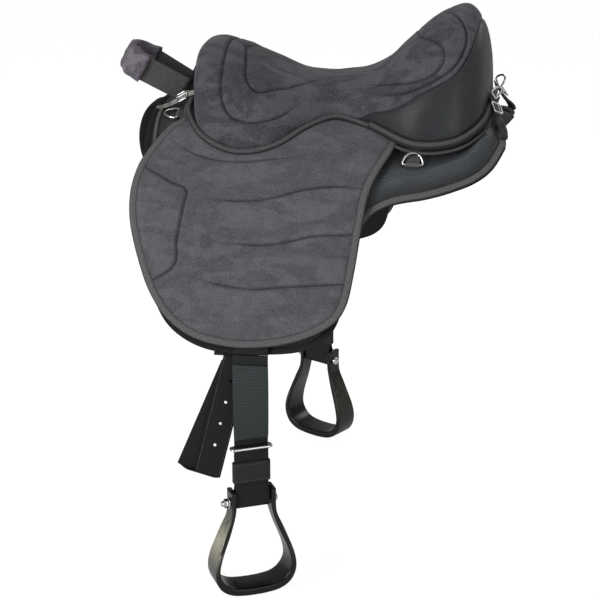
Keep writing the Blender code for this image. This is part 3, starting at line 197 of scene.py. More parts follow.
def nearest_of(points, lines):
    """Each point's distance from the nearest of some finely drawn lines, and which of their points it is."""
    def in_space(rows):
        return np.pad(rows, ((0, 0), (0, 3 - rows.shape[1])))

    every = np.concatenate([in_space(line) for line in lines])
    tree = KDTree(len(every))
    for i, place in enumerate(every):
        tree.insert(place, i)
    tree.balance()
    which, away = zip(*(tree.find(place)[1:] for place in in_space(points.reshape(-1, points.shape[-1]))))
    return np.array(away).reshape(points.shape[:-1]), np.array(which).reshape(points.shape[:-1])


def far_from(points, *lines):
    """Each point's distance from the nearest of some finely drawn lines."""
    return nearest_of(points, lines)[0]


def felt_from(points, lines, tail):
    """How far each point is from the nearest line, and how strong that line is there: its tail thins out."""
    strengths = [ramp(lengths(line[::-1])[::-1] / tail) for line in lines]
    away, which = nearest_of(points, lines)
    return away, np.concatenate(strengths)[which]


def ramp(value, low=0, high=1):
    return np.clip(value, low, high)


def peak(away, width, power=2):
    """One at 0, falling to nothing over a width."""
    return np.exp(-(away / width) ** power)


def swelling(away, width):
    """Nothing at 0, rising to one over a width."""
    return 1 - np.exp(-away / width)


def bump(x, s, seed, scale):
    """Slow, even unevenness between -1 and 1, from a few crossed waves."""
    dice = np.random.default_rng(seed)
    total = np.zeros(np.broadcast(x, s).shape)
    for _ in range(7):
        turn, phase, stretch = dice.uniform(0, math.pi), dice.uniform(0, 6.28), dice.uniform(0.6, 1.6)
        total += np.sin((x * math.cos(turn) + s * math.sin(turn)) * stretch * 2 * math.pi / scale + phase)
    return total / 4


# ---------------------------------------------------------------- meshes
def added(name, data):
    """A new object in the scene."""
    made = bpy.data.objects.new(name, data)
    bpy.context.scene.collection.objects.link(made)
    return made


def cloth(u, v):
    """Cloth coordinates of a grid from the distances along its rows and columns."""
    return np.stack(np.broadcast_arrays(u[:, None], v[None]), -1)


class Shell:
    """Points and faces gathered for one closed piece."""

    def __init__(self):
        self.points, self.faces, self.uvs, self.marks = [], [], [], []
        self.count = 0

    def add(self, places, mark=None):
        places = np.asarray(places, float).reshape(-1, 3)
        self.points.append(places)
        self.marks.append(np.zeros(len(places)) if mark is None else np.asarray(mark, float).reshape(-1))
        self.count += len(places)
        return self.count - len(places)

    def face(self, corners, uv):
        self.faces.append(tuple(int(i) for i in corners))
        self.uvs.append(np.asarray(uv, float))

    def join(self, a, b, uv_a, uv_b, wrap=False):
        """Quads between two rows of points, whose last joins the first where they wrap."""
        for j in range(len(a) if wrap else len(a) - 1):
            k = (j + 1) % len(a)
            self.face([a[j], a[k], b[k], b[j]], [uv_a[j], uv_a[j + 1], uv_b[j + 1], uv_b[j]])

    def grid(self, places, uv, mark=None, wrap=False, capped=False):
        """A grid of quads; uv has one column more where it wraps. Gives the points' numbers."""
        rows, cols = places.shape[:2]
        index = self.add(places, mark) + np.arange(rows * cols).reshape(rows, cols)
        for i in range(rows - 1):
            self.join(index[i], index[i + 1], uv[i], uv[i + 1], wrap)
        for i in (0, -1) if capped else ():
            self.face(index[i], uv[i, :cols])
        return index

    def made(self, name):
        """The piece's mesh, with its cloth coordinates and the marks that its finish reads: painted shade and
        highlight, and on the stirrups rub wear with painted sheen.
        """
        mesh = bpy.data.meshes.new(name)
        mesh.from_pydata([tuple(p) for p in np.concatenate(self.points)], [], self.faces)
        uv = np.concatenate(self.uvs).astype(np.float32)
        mesh.uv_layers.new(name="cloth").data.foreach_set("uv", uv.ravel())
        marks = np.concatenate(self.marks).astype(np.float32)
        if marks.any():
            # these marks are painted shade and highlight, and on the stirrups rub wear with painted sheen
            mesh.attributes.new("sewn", "FLOAT", "POINT").data.foreach_set("value", marks)
        piece = added(name, mesh)
        bm = bmesh.new()
        bm.from_mesh(mesh)
        bmesh.ops.remove_doubles(bm, verts=bm.verts, dist=1e-6)
        bmesh.ops.recalc_face_normals(bm, faces=bm.faces)
        bm.to_mesh(mesh)
        bm.free()
        mesh.shade_smooth()
        return piece


def solid(name, rings, uv=None, marks=None, capped=True):
    """One closed mesh through rings of places."""
    shell = Shell()
    uv = np.zeros((len(rings), len(rings[0]) + 1, 2)) if uv is None else uv
    shell.grid(np.array(rings), uv, marks, wrap=True, capped=capped)
    return shell.made(name)


def tube(name, places, path, section, closed, marks=None):
    """A section's rings of places along a path, capped where the path has ends."""
    places = np.concatenate([places, places[:1]]) if closed else places
    return solid(name, places, cloth(lengths(path, closed), lengths(section, True)), marks, not closed)


def edge_fine(edge):
    """A closed outline filled in to a point every half millimetre or so."""
    ahead = np.roll(edge, -1, 0)
    steps = max(2, int(np.linalg.norm(ahead - edge, axis=1).max() / 0.0005))
    shares = np.arange(steps)[:, None, None] / steps
    return (edge[None] * (1 - shares) + ahead[None] * shares).reshape(-1, edge.shape[1])


def padded_panel(name, edge, centre, low, top, rings, side=1):
    """A closed padded layer: a top from a height rule over the flat pattern, a rounded edge, an underside."""
    centre, count = np.asarray(centre, float), len(edge)

    def drawn_in(shares):
        return centre + (edge - centre)[None] * shares[:, None, None]

    flat = drawn_in(1 - (1 - np.linspace(0, 1, rings + 1)[1:]) ** 1.25)
    under = drawn_in(np.linspace(1, 0, 10)[:-1])
    # the height rule also gives marks of painted shade and highlight for the finish
    height, sewn = top(flat[..., 0], flat[..., 1], far_from(flat, edge_fine(edge)))
    rounded = np.stack([edge + (edge - inset(edge, 0.0012)) * share for share in (0.6, 1.0, 0.6)])
    levels = np.array([0.75, 0.45, 0.15])[:, None] * (height[-1] - low)[None] + low
    plan = np.concatenate([flat, rounded, under])
    heights = np.concatenate([height, levels, np.full(under.shape[:2], low)])
    marks = np.concatenate([sewn, np.zeros((3 + len(under), count))])
    uv = np.concatenate([plan, plan[:, :1]], 1)
    shell = Shell()
    index = shell.grid(lay(plan[..., 0], side * plan[..., 1], heights), uv, marks, wrap=True)
    (tip_height,), (tip_mark,) = top(*centre[:, None], np.array([1.0]))
    for height, mark, row in ((tip_height, tip_mark, 0), (low, 0.0, -1)):
        tip = shell.add(lay(centre[0], side * centre[1], height), [mark])
        for j in range(count):
            shell.face([tip, index[row, j], index[row, (j + 1) % count]],
                       [centre, uv[row, j], uv[row, j + 1]])
    return shell.made(name)


def swept(name, path, across, face, section, closed=False, swell=None):
    """A section of points (across, face) carried along a path; swell scales it at each place."""
    sizes = section[None] if swell is None else section[None] * swell[:, None]
    places = path[:, None] + across[:, None] * sizes[..., :1] + face[:, None] * sizes[..., 1:]
    return tube(name, places, path, section, closed)


def ribbon(name, path, across, section):
    """A band along a path, with one direction across it."""
    across = np.broadcast_to(across, path.shape)
    return swept(name, path, across, np.cross(across, heading(path)), section)


def edging(name, edge, half_a, low, half_b, side=1, power=2.8, closed=True, mark=None):
    """A ribbed binding carried along a flat line on the saddle, its middle at the line; its rounded sides
    carry painted shade.
    """
    section = oval(half_a, half_b, power, 18)
    plan = edge[:, None] + left_of(heading(edge, closed))[:, None] * section[None, :, :1]
    places = lay(plan[..., 0], side * plan[..., 1], low + half_b + section[None, :, 1])
    # painted shade: the binding's colour darkens towards both rounded sides, leaving its crest light
    flank_shade = ramp((np.abs(section[:, 0]) / half_a - 0.66) / 0.3) * 0.8
    marks = np.zeros(len(edge) + closed) if mark is None else np.append(mark, mark[0])
    return tube(name, places, edge, section, closed, np.maximum(flank_shade[None], marks[:, None]))


def band(width, thick, rounding=0.45):
    """A webbing's section: flat faces and rounded edges."""
    half, r, flat = width / 2, thick * rounding, 7
    corners = ((thick / 2 - r, np.linspace(0, math.pi / 2, 4)),
               (r - thick / 2, np.linspace(math.pi / 2, math.pi, 4)[1:]))
    points = []
    for side in (1, -1):
        for lift, turns in corners:
            points += [(side * (half - r + r * math.sin(t)), side * (lift + r * math.cos(t))) for t in turns]
        points += [(side * (half - r) * (1 - 2 * k / flat), -side * thick / 2) for k in range(1, flat)]
    return np.array(points)


def oval(half_a, half_b, power, count):
    """A closed rounded section."""
    turns = np.linspace(0, 2 * math.pi, count, endpoint=False)
    return np.stack([half * np.sign(way) * np.abs(way) ** (2 / power)
                     for half, way in ((half_a, np.cos(turns)), (half_b, np.sin(turns)))], -1)


def directions(path, hint, closed=False):
    """Across and face directions of a strap along a path, whose face looks about the way of the hint."""
    along = heading(path, closed)
    across = unit(np.cross(along, np.broadcast_to(hint, path.shape)))
    return across, np.cross(across, along)


def rounded_loop(half_a, half_b, corner, steps):
    """A closed rectangle with rounded corners."""
    turns = [(k, math.pi / 2 * (k + step / steps)) for k in range(4) for step in range(steps + 1)]
    return np.array([((1, -1, -1, 1)[k] * (half_a - corner) + corner * math.cos(turn),
                      (1, 1, -1, -1)[k] * (half_b - corner) + corner * math.sin(turn)) for k, turn in turns])


def turned(name, centre, axis, profile, sides=48):
    """A round piece along an axis from (distance, radius, share of a hexagon)."""
    axis = Vector(axis).normalized()
    first = axis.orthogonal().normalized()
    turns = np.linspace(0, 2 * math.pi, sides, endpoint=False)
    circle = np.cos(turns)[:, None] * np.array(first) + np.sin(turns)[:, None] * np.array(axis.cross(first))
    sector = (turns + math.pi / 6) % (math.pi / 3) - math.pi / 6
    rows = []
    for distance, radius, six in profile:
        reach = radius * ((1 - six) + six * math.cos(math.pi / 6) / np.cos(sector))
        rows.append(np.array(centre) + np.array(axis) * distance + reach[:, None] * circle)
    return solid(name, rows)


def settle(piece):
    """Make a piece's modifiers part of its mesh."""
    bpy.context.view_layer.update()
    result = bpy.data.meshes.new_from_object(piece.evaluated_get(bpy.context.evaluated_depsgraph_get()))
    piece.modifiers.clear()
    old, piece.data = piece.data, result
    bpy.data.meshes.remove(old)


def punched(piece, spots, radius, way, depth):
    """Round holes through a strap."""
    bm = bmesh.new()
    for spot in spots:
        made = bmesh.ops.create_cone(bm, cap_ends=True, segments=20, radius1=radius, radius2=radius,
                                     depth=depth)
        turn = Vector(way).normalized().to_track_quat("Z", "Y").to_matrix().to_4x4()
        turn.translation = Vector(spot)
        bmesh.ops.transform(bm, verts=made["verts"], matrix=turn)
    mesh = bpy.data.meshes.new("punch")
    bm.to_mesh(mesh)
    bm.free()
    tool = added("punch", mesh)
    cut = piece.modifiers.new("holes", "BOOLEAN")
    cut.operation, cut.solver, cut.object = "DIFFERENCE", "EXACT", tool
    settle(piece)
    bpy.data.objects.remove(tool)
    bpy.data.meshes.remove(mesh)


# ---------------------------------------------------------------- finishes
def tone(colour):
    """A linear colour from one read off a picture, 0 to 255."""
    return tuple(((c / 255 + 0.055) / 1.055) ** 2.4 if c > 10 else c / 255 / 12.92 for c in colour) + (1.0,)


class Bench:
    """Adds linked nodes to a tree."""

    def __init__(self, tree):
        self.tree = tree

    def add(self, kind, ins=None, **settings):
        node = self.tree.nodes.new(kind)
        for key, value in settings.items():
            setattr(node, key, value)
        for key, value in (ins or {}).items():
            if isinstance(value, bpy.types.NodeSocket):
                self.tree.links.new(value, node.inputs[key])
            else:
                node.inputs[key].default_value = value
        return node

    def sum(self, operation, *values, clamp=False):
        node = self.add("ShaderNodeMath", dict(enumerate(values)), operation=operation, use_clamp=clamp)
        return node.outputs[0]

    def plus(self, a, b, clamp=False):
        return self.sum("ADD", a, b, clamp=clamp)

    def times(self, a, b):
        return self.sum("MULTIPLY", a, b)

    def wave(self, value):
        return self.sum("SINE", self.times(value, math.pi))

    def blend(self, factor, a, b):
        """From colour a to colour b, each a socket or read off a picture."""
        ends = {6: a, 7: b}
        ins = {key: tone(value) if isinstance(value, tuple) else value for key, value in ends.items()}
        return self.add("ShaderNodeMix", {0: factor, **ins}, data_type="RGBA").outputs[2]

    def span(self, value, low, high, to_low=0.0, to_high=1.0):
        node = self.add("ShaderNodeMapRange", {0: value, 1: low, 2: high, 3: to_low, 4: to_high},
                        interpolation_type="SMOOTHSTEP")
        return node.outputs[0]

    def noise(self, place, scale, detail, distortion=0.0):
        node = self.add("ShaderNodeTexNoise", {"Vector": place, "Scale": scale, "Detail": detail,
                                               "Distortion": distortion})
        return node.outputs["Fac"]

    def stretched(self, place, scale):
        return self.add("ShaderNodeMapping", {"Vector": place, "Scale": scale}).outputs[0]

    def marks(self):
        """The marks that a piece carries: painted shade and highlight, and on the stirrups rub wear with
        painted sheen.
        """
        return self.add("ShaderNodeAttribute", attribute_name="sewn").outputs["Fac"]

    def effect(self, group, on_cloth=False, **sizes):
        """One of the effects below, laid on the cloth's coordinates or the object's; marks can be a size."""
        place = (self.add("ShaderNodeUVMap", uv_map="cloth").outputs[0] if on_cloth
                 else self.add("ShaderNodeTexCoord").outputs["Object"])
        ins = {key: self.marks() if value == "marks" else value for key, value in sizes.items()}
        return self.add("ShaderNodeGroup", {"Place": place, **ins}, node_tree=group).outputs

    def relief(self, height, depth, strength):
        return self.add("ShaderNodeBump",
                        {"Height": height, "Strength": strength, "Distance": depth}).outputs[0]

    def seen(self):
        """What kind of ray looks, and whether it shows in the picture."""
        path = self.add("ShaderNodeLightPath").outputs
        return path, self.sum("MAXIMUM", path["Is Camera Ray"], path["Is Transmission Ray"])


def effect(name, fill, **sizes):
    """A node group that reads a place and named sizes; fill gives its outputs."""
    tree = bpy.data.node_groups.new(name, "ShaderNodeTree")
    tree.interface.new_socket("Place", in_out="INPUT", socket_type="NodeSocketVector")
    for key, value in sizes.items():
        tree.interface.new_socket(key, in_out="INPUT", socket_type="NodeSocketFloat").default_value = value
    bench = Bench(tree)
    results = fill(bench, bench.add("NodeGroupInput").outputs)
    for key in results:
        tree.interface.new_socket(key, in_out="OUTPUT", socket_type="NodeSocketFloat")
    bench.add("NodeGroupOutput", results)
    return tree


def fill_nap(bench, given):
    place = given["Place"]
    drawn_out = bench.stretched(place, (0.6, 1.2, 1.5))
    strokes = bench.span(bench.noise(drawn_out, given["Broad"], 3.0, 0.7), 0.45, 0.57)
    blotch = bench.span(bench.noise(place, given["Fine"], 3.0), 0.30, 0.70)
    fibre = bench.noise(place, 520.0, 3.0)
    marks = bench.plus(bench.times(strokes, given["Strokes"]), bench.times(blotch, 0.18))
    return {"Marks": bench.plus(marks, bench.times(bench.span(fibre, 0.35, 0.65), 0.42), True),
            "Height": fibre}


def fill_weave(bench, given):
    parts = bench.add("ShaderNodeSeparateXYZ", {0: given["Place"]}).outputs
    along = bench.sum("DIVIDE", parts[0], given["Rib"])
    across = bench.sum("DIVIDE", parts[1], given["Thread"])
    slant = bench.plus(across, bench.times(bench.sum("FLOOR", along), 0.5))
    rib, thread = (bench.sum("ABSOLUTE", bench.wave(value)) for value in (along, slant))
    return {"Height": bench.times(rib, bench.plus(bench.times(thread, 0.5), 0.5)),
            "Fleck": bench.span(bench.noise(given["Place"], given["Flecks"], 2.0), 0.42, 0.66)}


def fill_cells(bench, given):
    parts = bench.add("ShaderNodeSeparateXYZ", {0: given["Place"]}).outputs
    along = bench.sum("DIVIDE", parts[0], given["Pitch"])
    down = bench.sum("DIVIDE", parts[1], bench.times(given["Pitch"], 0.62))
    shifted = bench.plus(along, bench.times(bench.sum("FLOOR", down), 0.5))
    hole = bench.span(bench.sum("ABSOLUTE", bench.times(bench.wave(shifted), bench.wave(down))), 0.18, 0.72)
    return {"Hole": hole, "Height": bench.sum("SUBTRACT", 1.0, hole)}


def fill_grain(bench, given):
    cells = bench.add("ShaderNodeTexVoronoi",
                      {"Vector": given["Place"], "Scale": given["Size"]}).outputs["Distance"]
    soft = bench.noise(given["Place"], bench.times(given["Size"], 0.12), 4.0)
    return {"Height": bench.plus(bench.times(cells, 0.7), bench.times(soft, 0.3)),
            "Shade": bench.span(soft, 0.35, 0.65)}


# Pale streaks: partly rub wear, partly a painted sheen.
def fill_rub_and_sheen(bench, given):
    lines = bench.noise(bench.stretched(given["Place"], (300.0, 300.0, 7.0)), 1.0, 3.0)
    patch = bench.noise(given["Place"], 30.0, 2.0)
    kept = bench.span(bench.plus(bench.times(lines, 0.55), bench.times(patch, 0.45)), 0.36, 0.56, 0.35, 1.0)
    return {"Worn": bench.times(kept, given["Amount"]), "Height": lines}


NAP = effect("brushed nap", fill_nap, Broad=13.0, Fine=60.0, Strokes=0.45)
WEAVE = effect("woven band", fill_weave, Rib=0.0016, Thread=0.0012, Flecks=900.0)
CELLS = effect("knitted cells", fill_cells, Pitch=0.0034)
GRAIN = effect("hide grain", fill_grain, Size=900.0)
RUB_AND_SHEEN = effect("rubbed streaks", fill_rub_and_sheen, Amount=1.0)


def finish(name, build, roughness, metallic=0.0, **settings):
    """A material: build says what its nodes feed into the shader."""
    made = bpy.data.materials.new(name)
    made.use_nodes = True
    shader = made.node_tree.nodes["Principled BSDF"]
    for key, value in dict(settings, Roughness=roughness, Metallic=metallic).items():
        shader.inputs[key.replace("_", " ")].default_value = value
    for key, source in build(Bench(made.node_tree)).items():
        made.node_tree.links.new(source, shader.inputs[key])
    return made


def surface(group, factor, dark, light, relief, rough=None, marked=None, flecks=None, on_cloth=False,
            share=1.0, **sizes):
    """What an effect feeds: two colours by its factor, others by flecks and by painted-light marks, and the
    rest.
    """
    def build(bench):
        found = bench.effect(group, on_cloth, **sizes)
        colour = bench.blend(found[factor], dark, light)
        if flecks:
            colour = bench.blend(bench.times(found["Fleck"], 0.4), colour, flecks)
        if marked:
            # the marks paint the colour towards the marked tone: painted shade, highlight and sheen
            colour = bench.blend(bench.sum("MULTIPLY", bench.marks(), share, clamp=True), colour, marked)
        fed = {"Base Color": colour}
        if rough:
            fed["Roughness"] = bench.span(found[factor], 0.0, 1.0, *rough)
        if relief:
            fed["Normal"] = bench.relief(found["Height"], *relief)
        return fed
    return build


def nap_cloth(dark, light, crease_shade, broad, strokes=0.45):
    """Brushed suede, painted darker as shade where the piece's marks are: in its sewn grooves, folds and
    seams and along its edges.
    """
    return surface(NAP, "Marks", dark, light, (0.0004, 0.6), marked=crease_shade, share=0.85, Broad=broad,
                   Strokes=strokes)


def woven(dark, light, rib, thread, scale=900.0, flecks=None, depth=0.0004, painted_shade_tone=None):
    """Webbing, with flecks of another thread, painted darker as shade where it has marks."""
    return surface(WEAVE, "Height", dark, light, (depth, 0.9), None, painted_shade_tone, flecks, True,
                   Rib=rib, Thread=thread, Flecks=scale)


def knitted(dark, light, shaded=None):
    """Spacer mesh with open cells; given a shaded tone, the piece's marks paint it darker as shade."""
    return surface(CELLS, "Hole", light, dark, (0.0007, 0.9), (0.36, 0.95), shaded, on_cloth=True,
                   Pitch=0.0034)


def grained(dark, light, size, relief=(0.0002, 0.5), rough=(0.4, 0.6)):
    """Leather, felt, thread or plated metal with a fine unevenness."""
    return surface(GRAIN, "Shade", dark, light, relief, rough, Size=size)


def rub_and_sheen(base, wear_and_sheen):
    """Plastic that is paler where the piece has marks: partly rub wear, partly painted sheen."""
    return surface(RUB_AND_SHEEN, "Worn", base, wear_and_sheen, (0.0001, 0.3), (0.26, 0.52), Amount="marks")


SOFT = dict(Specular_IOR_Level=0.22)
BRUSHED = dict(SOFT, Sheen_Weight=0.08, Sheen_Roughness=0.5)
MESH = dict(Specular_IOR_Level=0.65)
SPUN = (2500.0, (0.00005, 0.5), (0.6, 0.8))
# The third colour of each suede is its painted shade in grooves, folds, seams and edges.
suede = finish("flap suede", nap_cloth((62, 62, 67), (99, 98, 103), (28, 28, 31), 26.0, 0.24), 0.95,
               **BRUSHED)
# The seat's suede is the flaps' suede painted darker: painted shade on the seat's upward faces.
shaded_seat_suede = finish("seat suede painted darker as shade", nap_cloth((44, 43, 48), (88, 87, 94), (24, 23, 27), 22.0, 0.34), 0.95,
                    **BRUSHED)
wrap_suede = finish("wrap suede", nap_cloth((58, 55, 61), (116, 110, 119), (20, 20, 22), 40.0), 0.95,
                    **dict(BRUSHED, Sheen_Weight=0.10))
mesh_cloth = finish("spacer mesh", knitted((3, 4, 5), (43, 47, 51)), 0.6, **MESH)
# The pad's mesh is the spacer mesh in a lighter tone: a painted highlight along its crest, with painted shade
# from its marks elsewhere.
pad_mesh_painted_light = finish("pad mesh with painted light", knitted((4, 5, 6), (82, 87, 93), (12, 13, 15)), 0.6, **MESH)
# The binding's and the piping's darkest tones are painted shade on their rounded sides and along the pad
# binding's front.
binding_cloth = finish("ribbed binding", woven((44, 44, 46), (94, 94, 95), 0.0017, 0.0013, 700.0,
                                               (140, 138, 136), painted_shade_tone=(26, 26, 28)), 0.8, **SOFT)
piping_cloth = finish("ribbed piping", woven((34, 34, 37), (78, 77, 79), 0.0015, 0.0012, 800.0,
                                             (134, 132, 130), painted_shade_tone=(20, 20, 22)), 0.8, **SOFT)
strap_cloth = finish("black webbing", woven((7, 8, 8), (30, 32, 33), 0.0019, 0.0014), 0.62, **SOFT)
billet_cloth = finish("billet webbing", woven((4, 5, 5), (20, 21, 22), 0.0019, 0.0014), 0.62, **SOFT)
tail_cloth = finish("ribbed tail", woven((22, 28, 28), (60, 68, 68), 0.0022, 0.0010), 0.7, **SOFT)
keeper_cloth = finish("keeper webbing", woven((18, 20, 19), (50, 52, 51), 0.0016, 0.0012), 0.75, **SOFT)
handle_cloth = finish("handle webbing", woven((40, 39, 39), (82, 81, 81), 0.0016, 0.0013, 600.0,
                                              (116, 115, 113)), 0.8, **SOFT)
lining_cloth = finish("lining cloth", woven((4, 4, 4), (14, 14, 14), 0.0011, 0.0011, depth=0.0002), 0.6,
                      **SOFT)
felt = finish("felt", grained((22, 22, 24), (40, 40, 42), 1200.0, (0.0004, 0.5), (0.85, 0.95)), 0.9, **SOFT)
dark_strap = finish("dark strap", grained((26, 25, 27), (56, 55, 57), 700.0), 0.5, **SOFT)
pale_strap = finish("pale strap", grained((96, 95, 90), (158, 156, 152), 500.0), 0.5)
plastic = finish("stirrup plastic", rub_and_sheen((8, 9, 9), (158, 155, 138)), 0.3, Specular_IOR_Level=0.34)
steel = finish("plated steel", grained((196, 196, 194), (210, 210, 208), 300.0, None, (0.12, 0.26)), 0.2, 1.0)
thread = finish("thread", grained((74, 74, 76), (104, 104, 105), *SPUN), 0.7, **SOFT)
dark_thread = finish("dark thread", grained((36, 36, 39), (58, 58, 60), *SPUN), 0.7, **SOFT)


def stitch_tree():
    """Geometry nodes that set a row of stitches along a line."""
    tree = bpy.data.node_groups.new("stitch row", "GeometryNodeTree")
    face = tree.interface
    face.new_socket("Geometry", in_out="INPUT", socket_type="NodeSocketGeometry")
    for key, value in (("Pitch", 0.0035), ("Length", 0.0026), ("Thickness", 0.0007)):
        face.new_socket(key, in_out="INPUT", socket_type="NodeSocketFloat").default_value = value
    face.new_socket("Thread", in_out="INPUT", socket_type="NodeSocketMaterial")
    face.new_socket("Geometry", in_out="OUTPUT", socket_type="NodeSocketGeometry")
    bench = Bench(tree)
    given = bench.add("NodeGroupInput").outputs
    curve = bench.add("GeometryNodeMeshToCurve", {"Mesh": given["Geometry"]})
    points = bench.add("GeometryNodeCurveToPoints", {"Curve": curve.outputs[0], "Length": given["Pitch"]},
                       mode="LENGTH")
    bead = bench.add("GeometryNodeMeshUVSphere", {"Segments": 6, "Rings": 4, "Radius": 0.5})
    turn = bench.add("FunctionNodeAlignRotationToVector", {"Vector": points.outputs["Tangent"]}, axis="X")
    scale = bench.add("ShaderNodeCombineXYZ",
                      {0: given["Length"], 1: given["Thickness"], 2: given["Thickness"]})
    rows = bench.add("GeometryNodeInstanceOnPoints", {
        "Points": points.outputs["Points"], "Instance": bead.outputs["Mesh"], "Rotation": turn.outputs[0],
        "Scale": scale.outputs[0]})
    real = bench.add("GeometryNodeRealizeInstances", {0: rows.outputs[0]})
    coloured = bench.add("GeometryNodeSetMaterial",
                         {"Geometry": real.outputs[0], "Material": given["Thread"]})
    bench.add("NodeGroupOutput", {0: coloured.outputs[0]})
    return tree


STITCHES = stitch_tree()


def dressed(piece, material, body, nodes=(), over=None):
    """Give a piece its finish and its place in the frame."""
    piece.data.materials.clear()
    piece.data.materials.append(material)
    if over:
        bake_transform(piece)
    else:
        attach(piece, body)
    if nodes:
        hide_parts(*nodes)


def stitched(name, lines, material, body, pitch, length, thickness, over=None):
    """One mesh of stitches along all the lines."""
    points, edges = [], []
    for line in lines:
        edges += [(len(points) + k, len(points) + k + 1) for k in range(len(line) - 1)]
        points += [tuple(p) for p in line]
    mesh = bpy.data.meshes.new(name)
    mesh.from_pydata(points, edges, [])
    made = added(name, mesh)
    change = made.modifiers.new("stitches", "NODES")
    change.node_group = STITCHES
    sizes = {"Pitch": pitch, "Length": length, "Thickness": thickness, "Thread": material}
    for item in STITCHES.interface.items_tree:
        if item.name in sizes:
            change[item.identifier] = sizes[item.name]
    settle(made)
    made.data.shade_smooth()
    dressed(made, material, body, over=over)


# ---------------------------------------------------------------- padded layers
PITCH_OF_LINES = 0.0006
pad_edge = drawn(mirrored(PAD_HALF), 0.0045, closed=True)
flap_edge = drawn(FLAP_EDGE, 0.0021, closed=True)
flap_rim = inset(flap_edge, 0.0095)
channel_lines = [drawn(line, PITCH_OF_LINES) for line in FLAP_CHANNELS]
knee_line = drawn(KNEE_LINE, PITCH_OF_LINES)
pucker_lines = [drawn(line, PITCH_OF_LINES) for line in FLAP_PUCKERS]
SIDE_RING_X = 0.2065
# Half widths, depths and rises of what is sewn into the flaps and the seat
CHANNEL, KNEE, PUCKER, RIDGE = 0.0018, 0.0022, 0.0035, 0.0022
CHANNEL_DEPTH, PUCKER_DEPTH, RIDGE_RISE = 0.0026, 0.0008, 0.0004
SEAT_GROOVE, SEAT_SEAM, SEAT_FOLD, SEAT_RIDGE = 0.0022, 0.0022, 0.0045, 0.0024
SEAT_PUFF, GROOVE_DEPTH, SEAM_DEPTH, FOLD_DEPTH, SEAT_RISE = 0.0020, 0.0032, 0.0016, 0.0008, 0.0005


def flap_top(x, s, shore):
    """Height of the flap's suede: a crown with sewn channels, a raised knee block and small puckers; and its
    marks of painted shade, darker in the channels, the puckers and at the edge.
    """
    plan = np.stack([x, s], -1)
    groove, nearest = np.zeros(x.shape), np.ones(x.shape)
    for line, start in zip(channel_lines, CHANNEL_STARTS):
        away = far_from(plan, line)
        fade = ramp((x - start) / 0.045, 0.10)
        if line is channel_lines[0]:
            fade = fade * ramp((0.105 - x) / 0.10, 0.15)
        groove = np.maximum(groove, fade * peak(away, CHANNEL))
        nearest = np.minimum(nearest, away + (1 - fade) * 0.02)
    knee = far_from(plan, knee_line)
    groove = np.maximum(groove, peak(knee, KNEE))
    nearest = np.minimum(nearest, knee)
    knee_x = np.interp(s, [p[1] for p in KNEE_LINE], [p[0] for p in KNEE_LINE])
    window = ramp((s - 0.176) / 0.02) * ramp((0.352 - s) / 0.02)
    block = window / (1 + np.exp(ramp((x - knee_x) / 0.0016, -40, 40)))
    pucker = peak(far_from(plan, *pucker_lines), PUCKER)
    rim = swelling(shore, 0.0075)
    crown = (0.0022 + 0.0030 * swelling(nearest, 0.013) + 0.0016 * block
             + 0.00055 * bump(x, s, FLAP_SEED, 0.075))
    sunk = CHANNEL_DEPTH * groove + PUCKER_DEPTH * pucker - RIDGE_RISE * peak(nearest - 0.0042, RIDGE)
    # painted shade: marks that colour the suede darker in the channels and puckers and where it dips under
    # the binding
    sewn = ramp(0.9 * groove ** 3 + 0.12 * pucker + 0.5 * peak(shore, 0.002))
    return YOKE_LOW + 0.0050 + rim * crown - rim * sunk, sewn


def pad_top(x, s, shore):
    """Height of the under pad's mesh: its rear edge is rolled over a soft ridge, clear of the side ring. Its
    marks paint a highlight on the ridge's crest at the rear and shade everywhere else.
    """
    rise = np.maximum(0, 1.1 * peak(shore - 0.026, 0.013) - 0.1)
    fade = ramp((x - 0.165) / 0.030) * ramp(np.abs(s) / 0.090)
    fade = fade * (1 - 0.75 * np.exp(-((x - SIDE_RING_X) / 0.022) ** 4 - ((np.abs(s) - 0.160) / 0.016) ** 4))
    rim = swelling(shore, 0.004)
    uneven = bump(x, s, PAD_SEED, 0.09) * rim * (x > 0.15)
    height = PAD_LOW + 0.0032 + 0.0020 * rim + 0.0085 * rise * fade + 0.0003 * uneven
    # painted highlight and shade: the mark is low on the rear ridge's crest and high elsewhere, where it
    # darkens the mesh
    return height, 0.85 - 0.85 * peak(shore - 0.027, 0.016) * ramp((x - 0.10) / 0.05, 0.3)


def plain_top(low, rise, width):
    """A height rule: flat, with a rounded rim."""
    return lambda x, s, shore: (low + rise * swelling(shore, width), np.zeros(x.shape))


def row_on(line, side, height):
    """A closed flat line laid on the saddle."""
    line = np.vstack([line, line[:1]])
    return lay(line[:, 0], side * line[:, 1], height)


lead = pad_edge.copy()
lead[:, 0] -= 0.016 * (pad_edge[:, 0] < 0) * ramp(1 - (np.abs(pad_edge[:, 1]) / 0.160) ** 4)
lining = padded_panel("lining_cloth", inset(lead, 0.0015), (0, 0), 0.0, plain_top(0.0022, 0.0028, 0.003), 60)
dressed(lining, lining_cloth, "saddle", ["lining"])
pad = padded_panel("pad_cloth", inset(pad_edge, 0.008), (0, 0), PAD_LOW, pad_top, 100)
dressed(pad, pad_mesh_painted_light, "saddle", ["under_pad"])
